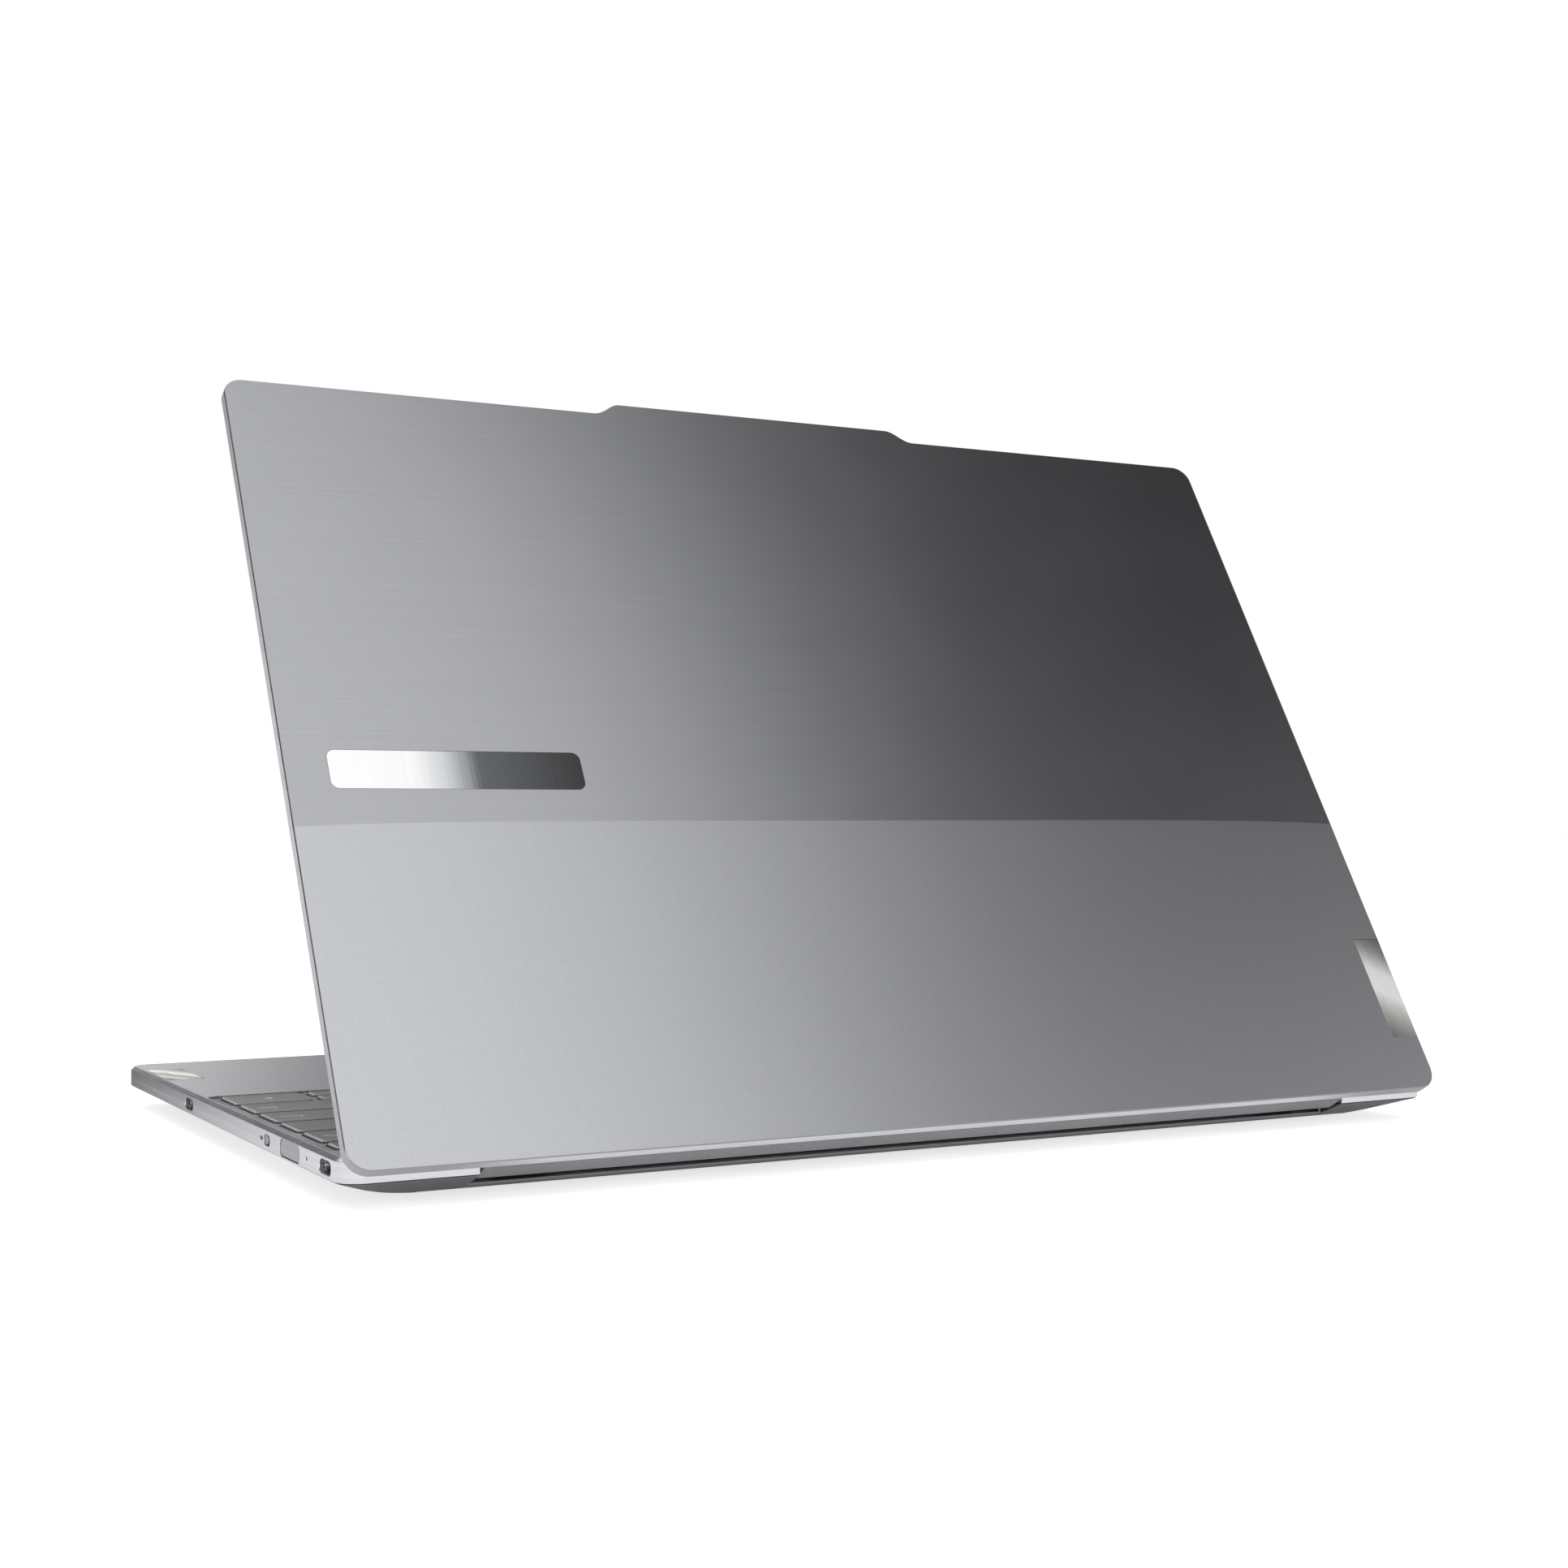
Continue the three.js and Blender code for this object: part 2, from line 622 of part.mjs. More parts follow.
function fanRotor(name) {
  const hub = disc(0, 0, 8, 3.3, 5.4, 22);
  const blades = [];
  const count = 11;
  for (let i = 0; i < count; i++) {
    blades.push(box(7, 21.6, -0.35, 0.35, 3.4, 5.2).rotate([0, 0, (360 * i) / count]));
  }
  const body = join([hub, ...blades]);
  return part(`${name}_rotor`, body, FINISH.darkPlastic, { x: FANS[name], y: FAN_Y, z: 0 });
}

function storageModule() {
  const board = box(-46, 34, -14, 8, 2.9, 3.6);
  const chips = [
    [-40, -26, 4.8],
    [-22, -8, 4.8],
    [-2, 12, 4.6],
  ].map(([x0, x1, z]) => box(x0, x1, -10, 4, 3.5, z));
  return part("storage_module", join([board, ...chips]), FINISH.board);
}

function speaker(name, side) {
  const rect = { x0: -17, x1: 17, y0: -6, y1: 6, r: 3 };
  const can = prism(roundedRect(rect, 3), 2.5, 6);
  const dish = prism(roundedRect(grown(rect, -1.5), 3), 0, 3);
  const tab = box(16, 22, -4, 4, 4, 5);
  const body = part(name, can.subtract(dish).add(tab), FINISH.darkPlastic, { x: side * 108, y: -67, z: 0 });
  body.rotation.z = side > 0 ? Math.PI : 0;
  return body;
}

// ---- Hinges ----

const KNUCKLE_R = 1.75;
const PIN_R = 0.9;
const EAR_R = 1.6;
const KNUCKLE_X = [98, 110];
const EAR_X = [
  [94.5, 97.6],
  [110.4, 113.5],
];

// Base bracket: a foot screwed under the deck, rising to the knuckle around the pin.
function hingeBracket(name, side) {
  const [x0, x1] = KNUCKLE_X;
  const arm = [
    [0.4, 1.65],
    [-6.6, 1.6],
    [-8.4, -0.6],
    [-8.6, -2.5],
    [-14, -2.5],
    [-14, -3.6],
    [-7.4, -3.6],
    [-7.2, -1],
    [-6, 0.9],
    [0.4, 0.9],
  ].map(([y, z]) => new THREE.Vector2(HINGE_Y + y, HINGE_Z + z));
  const knuckle = alongX(circle(HINGE_Y, HINGE_Z, KNUCKLE_R, 24), x0, x1);
  const bore = alongX(circle(HINGE_Y, HINGE_Z, PIN_R + 0.08, 24), x0 - 1, x1 + 1);
  const body = alongX(arm, x0 + 1, x1 - 1).add(knuckle).subtract(bore);
  return part(name, side > 0 ? body : body.mirror([1, 0, 0]), FINISH.steel);
}

// ---- Lid: drawn closed, with the hinge axis as its own origin ----

const up = (v) => LID_EDGE - v; // local Y of a height v above the lid's bottom edge

// The lid's outline with the raised camera section on its top edge.
function lidOutline() {
  const q = Math.PI / 2;
  const [rear, front] = [up(0), up(LID_HEIGHT)];
  const bottomR = LID_BOTTOM_CORNER;
  const topR = LID_TOP_CORNER;
  const rise = new THREE.CubicBezierCurve(
    new THREE.Vector2(-HUMP_FOOT_HALF, front),
    new THREE.Vector2(-HUMP_FOOT_HALF + 3.6, front),
    new THREE.Vector2(-HUMP_TOP_HALF - 3.4, front - HUMP_RISE),
    new THREE.Vector2(-HUMP_TOP_HALF, front - HUMP_RISE),
  ).getPoints(8);
  const fall = rise.map((p) => new THREE.Vector2(-p.x, p.y)).reverse();
  return [
    ...arcPoints(-HALF + topR, front + topR, topR, 2 * q, 3 * q, 5),
    ...rise,
    ...fall,
    ...arcPoints(HALF - topR, front + topR, topR, 3 * q, 4 * q, 5),
    ...arcPoints(HALF - bottomR, rear - bottomR, bottomR, 0, q, 5),
    ...arcPoints(-HALF + bottomR, rear - bottomR, bottomR, q, 2 * q, 5),
  ];
}

const LID_RING = lidOutline();
const LID_TAG = { x0: -HALF + 0.25, x1: -137.9, y0: up(43.5), y1: up(14.5), r: 0.3 };
const LID_BAR = { x0: 76.1, x1: 136.7, y0: up(99.4), y1: up(89.4), r: 2 };
const INLAY_DEPTH = 0.45;

function lidCover() {
  const shell = loft([
    { points: inset(LID_RING, 0.15), z: LID_IN },
    { points: LID_RING, z: LID_IN + 0.15 },
    { points: LID_RING, z: LID_OUT - LID_CHAMFER },
    { points: inset(LID_RING, LID_CHAMFER), z: LID_OUT },
  ]);
  const pocket = prism(inset(LID_RING, LID_RIM), LID_IN - 1, LID_OUT - LID_SKIN);
  const inlays = [LID_TAG, LID_BAR].map((rect) =>
    prism(roundedRect(grown(rect, GAP), 3), LID_OUT - INLAY_DEPTH, LID_OUT + 1),
  );
  return part("lid_cover", cut(shell, [pocket, ...inlays]), FINISH.bodyMetal);
}

function lidInlay(name, rect) {
  const plate = prism(roundedRect(rect, 3), LID_OUT - INLAY_DEPTH + GAP, LID_OUT + 0.02);
  return part(name, plate, FINISH.polished);
}

const GLASS_INSET = 1.95;
const GLASS_FOOT = 8.2;
const ACTIVE = { half: 142.65, low: 10, high: 200.2 };

// Plastic frame around the glass, with a wide foot over the hinges.
function displayBezel() {
  const frame = prism(inset(LID_RING, LID_RIM + 0.12), LID_IN - 0.06, LID_IN + 1);
  const window = prism(inset(LID_RING, GLASS_INSET - 0.1), LID_IN - 2, LID_IN + 2).intersect(
    box(-HALF, HALF, up(250), up(GLASS_FOOT - 0.1), LID_IN - 2, LID_IN + 2),
  );
  const armHoles = [-1, 1].map((side) =>
    box(side * 104 - 12, side * 104 + 12, -3.2, 1.2, LID_IN - 1, LID_IN + 2),
  );
  return part("display_bezel", cut(frame, [window, ...armHoles]), FINISH.rubber);
}

function screenGlass() {
  const sheet = prism(inset(LID_RING, GLASS_INSET), LID_IN + 0.03, LID_IN + 0.62);
  const top = box(-HALF, HALF, up(250), up(GLASS_FOOT), LID_IN - 2, LID_IN + 2);
  return part("screen_glass", sheet.intersect(top), FINISH.glass);
}

function displayPanel() {
  const { half, low, high } = ACTIVE;
  const panel = box(-half, half, up(high), up(low), LID_IN + 0.72, LID_IN + 1.5);
  const driver = box(-70, 70, up(low + 3), up(low - 1.2), LID_IN + 1.1, LID_IN + 1.5);
  return part("display_panel", panel.add(driver), FINISH.darkPlastic);
}

function cameraModule() {
  const [z0, z1] = [LID_IN + 0.75, LID_IN + 2];
  const board = box(-26, 26, up(206.9), up(201.2), z0 + 0.6, z1);
  const lens = disc(0, up(204), 1.6, z0, z0 + 0.7, 16);
  const sensor = box(6, 10, up(205.6), up(202.4), z0, z0 + 0.7);
  return part("camera_module", join([board, lens, sensor]), FINISH.darkPlastic);
}

// The bar between lid and base. Closed, its rear face is flush with the base's side band
// and its underside follows the bevel; it swings with the lid.
const COVER_HALF = 116.7;
const COVER_R = 3.9;
const COVER_REAR = BASE_REAR - HINGE_Y;
function hingeCover() {
  const bevelZ = (y) => -2.6 + ((y - COVER_REAR) * 4.3) / BEVEL_RUN;
  const profile = [
    new THREE.Vector2(COVER_REAR, LID_IN - 0.35),
    new THREE.Vector2(-COVER_R, LID_IN - 0.35),
    ...arcPoints(0, 0, COVER_R, Math.PI, 1.4 * Math.PI, 6),
    new THREE.Vector2(COVER_REAR, bevelZ(COVER_REAR)),
  ];
  const bar = alongX(profile, -COVER_HALF, COVER_HALF);
  const tray = [-1, 1].map((side) => {
    const [a, b] = [side * 92, side * COVER_HALF - side * 1].sort((p, q) => p - q);
    const room = [
      new THREE.Vector2(2, LID_IN),
      new THREE.Vector2(-5, LID_IN),
      new THREE.Vector2(-5, -6),
      new THREE.Vector2(1.1, -6),
      new THREE.Vector2(2, -1.9),
    ];
    return alongX(room, a, b);
  });
  return part("hinge_cover", cut(bar, tray), FINISH.darkPlastic);
}

// Lid arm: a plate behind the panel with two ears down to the pin.
function hingeArm(name, side) {
  const plate = box(92.5, 115, -16, 0.9, LID_IN + 1.58, LID_IN + 2.02);
  const ears = EAR_X.map(([x0, x1]) => {
    const ear = [
      new THREE.Vector2(-1.6, LID_IN + 1.7),
      ...arcPoints(0, 0, EAR_R, Math.PI, 2 * Math.PI, 8),
      new THREE.Vector2(0.8, LID_IN + 1.7),
    ];
    return alongX(ear, x0, x1);
  });
  const bore = alongX(circle(0, 0, PIN_R + 0.06, 24), 90, 118);
  const body = join([plate, ...ears]).subtract(bore);
  return part(name, side > 0 ? body : body.mirror([1, 0, 0]), FINISH.steel);
}

function hingePin(name, side) {
  const [x0, x1] = [94.2, 113.8];
  const shaft = alongX(circle(0, 0, PIN_R, 24), x0, x1);
  const head = alongX(circle(0, 0, EAR_R, 16), x1, x1 + 1);
  const body = shaft.add(head);
  return part(name, side > 0 ? body : body.mirror([1, 0, 0]), FINISH.steel);
}

function displayCable() {
  const run = box(-34, -16, up(60), up(6), LID_IN + 1.62, LID_IN + 1.82);
  const tail = box(-24, 10, up(16), up(2), LID_IN + 1.7, LID_IN + 1.9);
  return part("display_cable", run.add(tail), FINISH.darkPlastic);
}

function antennaStrip() {
  const strip = box(-80, 80, up(5.6), up(2), LID_IN + 1.1, LID_IN + 1.45);
  return part("antenna_strip", strip, FINISH.copper);
}

// ---- Assembly ----

function buildBase() {
  const base = new THREE.Group();
  base.add(topCover(), bottomCover(), keyboardPlate(), touchpad(), palmRestPlate());
  base.add(batteryPack(), motherboard(), heatPipe(), storageModule());
  base.add(speaker("speaker_left", -1), speaker("speaker_right", 1));
  base.add(usbPort("usb_port_right_front", HALF - WALL - 0.15, USB_RIGHT_Y[0], 1));
  base.add(usbPort("usb_port_right_rear", HALF - WALL - 0.15, USB_RIGHT_Y[1], 1));
  base.add(usbPort("usb_port_left", -HALF + WALL + 0.15, USB_LEFT_Y, -1));
  base.add(audioJack(), powerLightGuide(), powerButton(), cameraSwitch());
  for (const name of Object.keys(FEET)) base.add(foot(name));
  for (let number = 1; number <= SCREWS.length; number++) base.add(screw(number));
  for (const name of Object.keys(FANS)) base.add(fanHousing(name), fanRotor(name));
  for (const group of KEY_GROUPS) base.add(keyGroup(group));
  base.add(hingeBracket("hinge_bracket_left", -1), hingeBracket("hinge_bracket_right", 1));
  return base;
}

function buildLid() {
  const lid = new THREE.Group();
  lid.add(lidCover(), displayBezel(), screenGlass(), displayPanel(), cameraModule());
  lid.add(lidInlay("lid_edge_tag", LID_TAG), lidInlay("lid_emblem_bar", LID_BAR));
  lid.add(hingeCover(), displayCable(), antennaStrip());
  lid.add(hingeArm("hinge_arm_left", -1), hingeArm("hinge_arm_right", 1));
  lid.add(hingePin("hinge_pin_left", -1), hingePin("hinge_pin_right", 1));
  lid.position.set(0, HINGE_Y, HINGE_Z);
  lid.rotation.x = -THREE.MathUtils.degToRad(LID_REST_DEG);
  return lid;
}

const laptop = new THREE.Group();
laptop.add(buildBase(), buildLid());

export default laptop;
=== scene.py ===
import json
import math

import bmesh
import bpy
from mathutils import Matrix, Vector


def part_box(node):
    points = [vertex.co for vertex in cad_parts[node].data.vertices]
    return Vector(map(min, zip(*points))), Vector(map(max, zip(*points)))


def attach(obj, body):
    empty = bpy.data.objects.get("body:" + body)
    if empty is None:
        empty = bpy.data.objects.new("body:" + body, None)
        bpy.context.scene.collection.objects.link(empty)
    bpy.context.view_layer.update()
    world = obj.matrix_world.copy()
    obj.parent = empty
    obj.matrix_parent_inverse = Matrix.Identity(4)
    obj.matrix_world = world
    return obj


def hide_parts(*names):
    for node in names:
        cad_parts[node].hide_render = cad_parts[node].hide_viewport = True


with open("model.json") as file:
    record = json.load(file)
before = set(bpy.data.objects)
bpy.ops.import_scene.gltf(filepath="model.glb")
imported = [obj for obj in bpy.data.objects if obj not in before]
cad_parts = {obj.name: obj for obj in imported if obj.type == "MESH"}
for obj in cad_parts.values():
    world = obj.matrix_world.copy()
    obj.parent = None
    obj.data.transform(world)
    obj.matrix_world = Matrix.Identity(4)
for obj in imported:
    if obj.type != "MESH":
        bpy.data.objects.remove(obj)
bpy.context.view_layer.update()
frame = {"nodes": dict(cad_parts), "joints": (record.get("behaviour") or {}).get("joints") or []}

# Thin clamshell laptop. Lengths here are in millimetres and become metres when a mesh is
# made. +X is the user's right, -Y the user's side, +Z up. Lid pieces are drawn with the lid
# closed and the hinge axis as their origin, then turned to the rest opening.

MM = 0.001


def edges(node):
    """Lowest and highest corner of a CAD node, in millimetres."""
    low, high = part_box(node)
    return [c / MM for c in low], [c / MM for c in high]


def middle(node):
    return [sum(c) / 2 for c in zip(*edges(node))]


def plan(node, r):
    """A CAD node's footprint as (x0, x1, y0, y1, corner radius)."""
    low, high = edges(node)
    return low[0], high[0], low[1], high[1], r


# ---- Sizes ----

HALF, BASE_REAR, DECK_Z = edges("top_cover")[1]
BASE = plan("top_cover", 5.5)
BOTTOM_Z = edges("bottom_cover")[0][2]
BAND_LOW = 5.75
BAND_HIGH = 10.1
DECK_CHAMFER = 0.95
WALL = 1.2
CAVITY_TOP = 9.7
SEAM_Z = 5.5
SEAM_STEP = 0.45
BEVEL_RUN = 11.1
BEVEL_CORNER = 8
NOTCH_HALF = 117.3
NOTCH_DECK_Y = 92.9
NOTCH_LIP_Y = 91.7
LIP_Z = 3.33
HINGE_X = 104
PASSAGE_HALF = 6.5

HINGE = next(j for j in frame["joints"] if j["name"] == "lid_hinge")
HINGE_Y, HINGE_Z = [c / MM for c in HINGE["pos_m"][1:]]
LID_REST_DEG = 60
LID_EDGE = 2.75
LID_HEIGHT = 205.2
LID_OUT = 6.54
LID_IN = 3.49
LID_SKIN = 0.9
LID_RIM = 1.1
LID_CHAMFER = 0.25
LID_BOTTOM_CORNER = 5.5
LID_TOP_CORNER = 5
HUMP_RISE = 3.62
HUMP_TOP_HALF = 40.85
HUMP_FOOT_HALF = 49.2
FINISH_SEAM = 80.95
INLAY_DEPTH = 0.45
GLASS_INSET = 1.95
GLASS_FOOT = 8.2
SCREEN_HALF = 142.65
SCREEN_FOOT = 10
SCREEN_HEAD = 200.2
COVER_HALF = 116.7
COVER_R = 3.9
COVER_LOW = -2.95
COVER_STEP_Z = 2.3

KEY_UNIT = 19.13
KEY_PITCH = 18.1
KEY_GAP = 2.1
KEY_DEPTH = KEY_PITCH - KEY_GAP + 0.3
FUNCTION_DEPTH = 9.4
HALF_KEY_DEPTH = 7.5
HALF_KEY_SHIFT = 4.4
FIRST_ROW_Y = -8.05
KEY_TOP = edges("space_bar")[1][2]
KEY_FOOT = 9
KEY_HOLE_GAP = 0.35
KEYBOARD_HALF = 7.5 * KEY_UNIT
ARROW_UNIT = 21.65
WELL = (-145.4, 145.4, -18.6, 88, 3.5)
WELL_Z = 10.43

TO_LID = Matrix.Translation((0, HINGE_Y * MM, HINGE_Z * MM)) @ Matrix.Rotation(
    math.radians(-LID_REST_DEG), 4, "X"
)


def up(v):
    """Local Y of a height v above the lid's bottom edge."""
    return LID_EDGE - v


LID_TAG = (-HALF + 0.25, -137.9, up(43.5), up(14.5), 0.3)
LID_BAR = (76.1, 136.7, up(99.4), up(89.4), 2)


# ---- Outlines: lists of (x, y), counter-clockwise ----


def arc(cx, cy, r, start, end, steps):
    angles = [math.radians(start + (end - start) * i / steps) for i in range(steps + 1)]
    return [(cx + r * math.cos(a), cy + r * math.sin(a)) for a in angles]


def circle(cx, cy, r, steps=32):
    return arc(cx, cy, r, 0, 360 * (1 - 1 / steps), steps - 1)


def rounded_rect(rect, steps=8):
    x0, x1, y0, y1, r = rect
    corners = ((x1 - r, y0 + r), (x1 - r, y1 - r), (x0 + r, y1 - r), (x0 + r, y0 + r))
    return [p for i, at in enumerate(corners) for p in arc(*at, r, 90 * i - 90, 90 * i, steps)]


def stadium(x0, x1, y0, y1):
    return rounded_rect((x0, x1, y0, y1, min(x1 - x0, y1 - y0) / 2 - 0.01), 6)


def grow(rect, d):
    x0, x1, y0, y1, r = rect
    return x0 - d, x1 + d, y0 - d, y1 + d, max(r + d, 0.02)


def inset(points, d):
    """Every corner moved inward by d, square to the two sides that meet there."""
    moved = []
    for i, (x, y) in enumerate(points):
        a = Vector((x - points[i - 1][0], y - points[i - 1][1])).normalized()
        after = points[(i + 1) % len(points)]
        b = Vector((after[0] - x, after[1] - y)).normalized()
        side = Vector((-a.y - b.y, a.x + b.x)).normalized()
        reach = d / max(0.2, -a.y * side.x + a.x * side.y)
        moved.append((x + side.x * reach, y + side.y * reach))
    return moved


def bezier(p0, p1, p2, p3, steps):
    points = []
    for i in range(steps + 1):
        t = i / steps
        w = ((1 - t) ** 3, 3 * t * (1 - t) ** 2, 3 * t * t * (1 - t), t**3)
        points.append(tuple(sum(k * p[axis] for k, p in zip(w, (p0, p1, p2, p3))) for axis in (0, 1)))
    return points


def round_over(r, steps):
    """Inset and rise of the points round a convex edge, from its side to its top."""
    angles = [math.radians(90 * i / steps) for i in range(steps + 1)]
    return [(r - r * math.cos(a), r * math.sin(a)) for a in angles]


# ---- Solids ----


def flat(u, v, w):
    return u, v, w


def sideways(u, v, w):
    """An outline drawn in (y, z), run along X."""
    return w, u, v


class Solid:
    """Closed shapes as vertices in millimetres and faces with a material index."""

    def __init__(self):
        self.verts = []
        self.faces = []
        self.marks = []

    def loft(self, rings, marks=0, caps=None, place=flat):
        """Rings of equal point count, each (points, height), from low to high."""
        count = len(rings[0][0])
        first = len(self.verts)
        for points, height in rings:
            self.verts += [place(x, y, height) for x, y in points]
        bands = marks if isinstance(marks, list) else [marks] * (len(rings) - 1)
        for k, mark in enumerate(bands):
            low, high = first + k * count, first + (k + 1) * count
            for i in range(count):
                j = (i + 1) % count
                self.faces.append((low + i, low + j, high + j, high + i))
                self.marks.append(mark)
        last = first + (len(rings) - 1) * count
        self.faces.append(tuple(reversed(range(first, first + count))))
        self.faces.append(tuple(range(last, last + count)))
        self.marks += list(caps or (bands[0], bands[-1]))
        return self

    def prism(self, points, z0, z1, mark=0, place=flat):
        return self.loft([(points, z0), (points, z1)], mark, place=place)

    def box(self, x0, x1, y0, y1, z0, z1, mark=0):
        return self.prism([(x0, y0), (x1, y0), (x1, y1), (x0, y1)], z0, z1, mark)

    def rounded(self, outline, z0, z1, r, steps=3, place=flat):
        """A prism with both of its end edges rounded by r."""
        low = [(d, z0 + r - h) for d, h in round_over(r, steps)][::-1]
        high = [(d, z1 - r + h) for d, h in round_over(r, steps)]
        return self.loft([(inset(outline, d), z) for d, z in low + high], place=place)

    def inside_out(self):
        self.faces = [tuple(reversed(face)) for face in self.faces]
        return self

    def mirrored(self):
        self.verts = [(-x, y, z) for x, y, z in self.verts]
        return self.inside_out()

    def add(self, other):
        shift = len(self.verts)
        self.verts += other.verts
        self.faces += [tuple(i + shift for i in face) for face in other.faces]
        self.marks += other.marks
        return self

    def mesh(self):
        mesh = bpy.data.meshes.new("work")
        mesh.from_pydata([Vector(v) * MM for v in self.verts], [], self.faces)
        mesh.polygons.foreach_set("material_index", self.marks)
        mesh.update()
        return mesh


def merged(solids):
    whole = Solid()
    for solid in solids:
        whole.add(solid)
    return whole


def flared(rect, z0, z1, flare, steps, mark):
    """A cutter for a hole that opens at height z1, with its rim chamfered by flare."""
    wide = rounded_rect(grow(rect, flare), steps)
    hole = rounded_rect(rect, steps)
    return Solid().loft([(hole, z0), (hole, z1 - flare), (wide, z1), (wide, z1 + 2)], mark)


def flared_side(outline, side, flare, mark, depth=3.5):
    """The same through a side wall; side is 1 on the user's right and -1 on the left."""
    wide = inset(outline, -flare)
    steps = [(outline, HALF - depth), (outline, HALF - flare), (wide, HALF), (wide, HALF + 2)]
    rings = steps if side > 0 else [(points, -x) for points, x in reversed(steps)]
    return Solid().loft(rings, mark, place=sideways)


def placed(name, data):
    made = bpy.data.objects.new(name, data)
    bpy.context.scene.collection.objects.link(made)
    return made


def evaluated_mesh(work):
    graph = bpy.context.evaluated_depsgraph_get()
    return bpy.data.meshes.new_from_object(work.evaluated_get(graph), depsgraph=graph)


def as_mesh(shape):
    return shape.mesh() if isinstance(shape, Solid) else shape


def shaped(shape, *tools, operation="DIFFERENCE"):
    """A shape with solids cut away from it one after another, or joined to it."""
    mesh = as_mesh(shape)
    for tool in tools:
        body, other = placed("work_body", mesh), placed("work_tool", as_mesh(tool))
        step = body.modifiers.new("cut", "BOOLEAN")
        step.operation = operation
        step.solver = "MANIFOLD"
        step.object = other
        mesh = evaluated_mesh(body)
        for work in (body, other):
            bpy.data.objects.remove(work)
    return mesh


def piece(name, shape, finishes, body, node=None, sharp=32, smooth=True):
    """A piece on a CAD body, softly shaded between its sharp edges; finishes go by material index."""
    mesh = as_mesh(shape)
    mesh.name = name
    marks = [face.material_index for face in mesh.polygons]
    mesh.materials.clear()
    for finish in finishes.split():
        mesh.materials.append(M[finish])
    mesh.polygons.foreach_set("material_index", marks)
    if smooth:
        mesh.shade_smooth()
        mesh.set_sharp_from_angle(angle=math.radians(sharp))
    made = placed(name, mesh)
    if smooth:
        even = made.modifiers.new("even_normals", "WEIGHTED_NORMAL")
        even.keep_sharp = True
        even.weight = 50
    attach(made, body)
    if node:
        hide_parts(node)


def lid_piece(name, shape, finishes, node=None):
    mesh = as_mesh(shape)
    mesh.transform(TO_LID)
    piece(name, mesh, finishes, "lid", node)


# ---- Materials ----

COOL = (1, 1.012, 1.065)
GILT = (1, 0.78, 0.42)
COPPER = (1, 0.56, 0.38)

M = {}


def cool(grey):
    """The faintly blue grey of the anodised metal."""
    return [grey * t for t in COOL]


class Tree:
    """A node tree, with short calls for the nodes used here."""

    def __init__(self, tree):
        self.tree = tree

    def feed(self, socket, value):
        if isinstance(value, bpy.types.NodeSocket):
            self.tree.links.new(value, socket)
        else:
            socket.default_value = value

    def node(self, kind, inputs=None, **settings):
        made = self.tree.nodes.new(kind)
        for key, value in settings.items():
            setattr(made, key, value)
        for socket, value in (inputs or {}).items():
            self.feed(made.inputs[socket], value)
        return made

    def math(self, operation, a, b=0.0):
        return self.node("ShaderNodeMath", {0: a, 1: b}, operation=operation).outputs[0]

    def times(self, a, b):
        return self.math("MULTIPLY", a, b)

    def plus(self, a, b):
        return self.math("ADD", a, b)

    def minus(self, a, b):
        return self.math("SUBTRACT", a, b)

    def split(self, vector):
        return self.node("ShaderNodeSeparateXYZ", {0: vector}).outputs

    def span(self, value, low, high, from_low=0.0, from_high=1.0, smooth=False):
        """A value carried from one range to another, clamped."""
        ends = {"From Min": from_low, "From Max": from_high, "To Min": low, "To Max": high}
        kind = "SMOOTHSTEP" if smooth else "LINEAR"
        made = self.node("ShaderNodeMapRange", {"Value": value, **ends}, interpolation_type=kind)
        return made.outputs["Result"]

    def camera_sees(self):
        """One for what the camera sees directly, nothing for light and reflections."""
        return self.node("ShaderNodeLightPath").outputs["Is Camera Ray"]


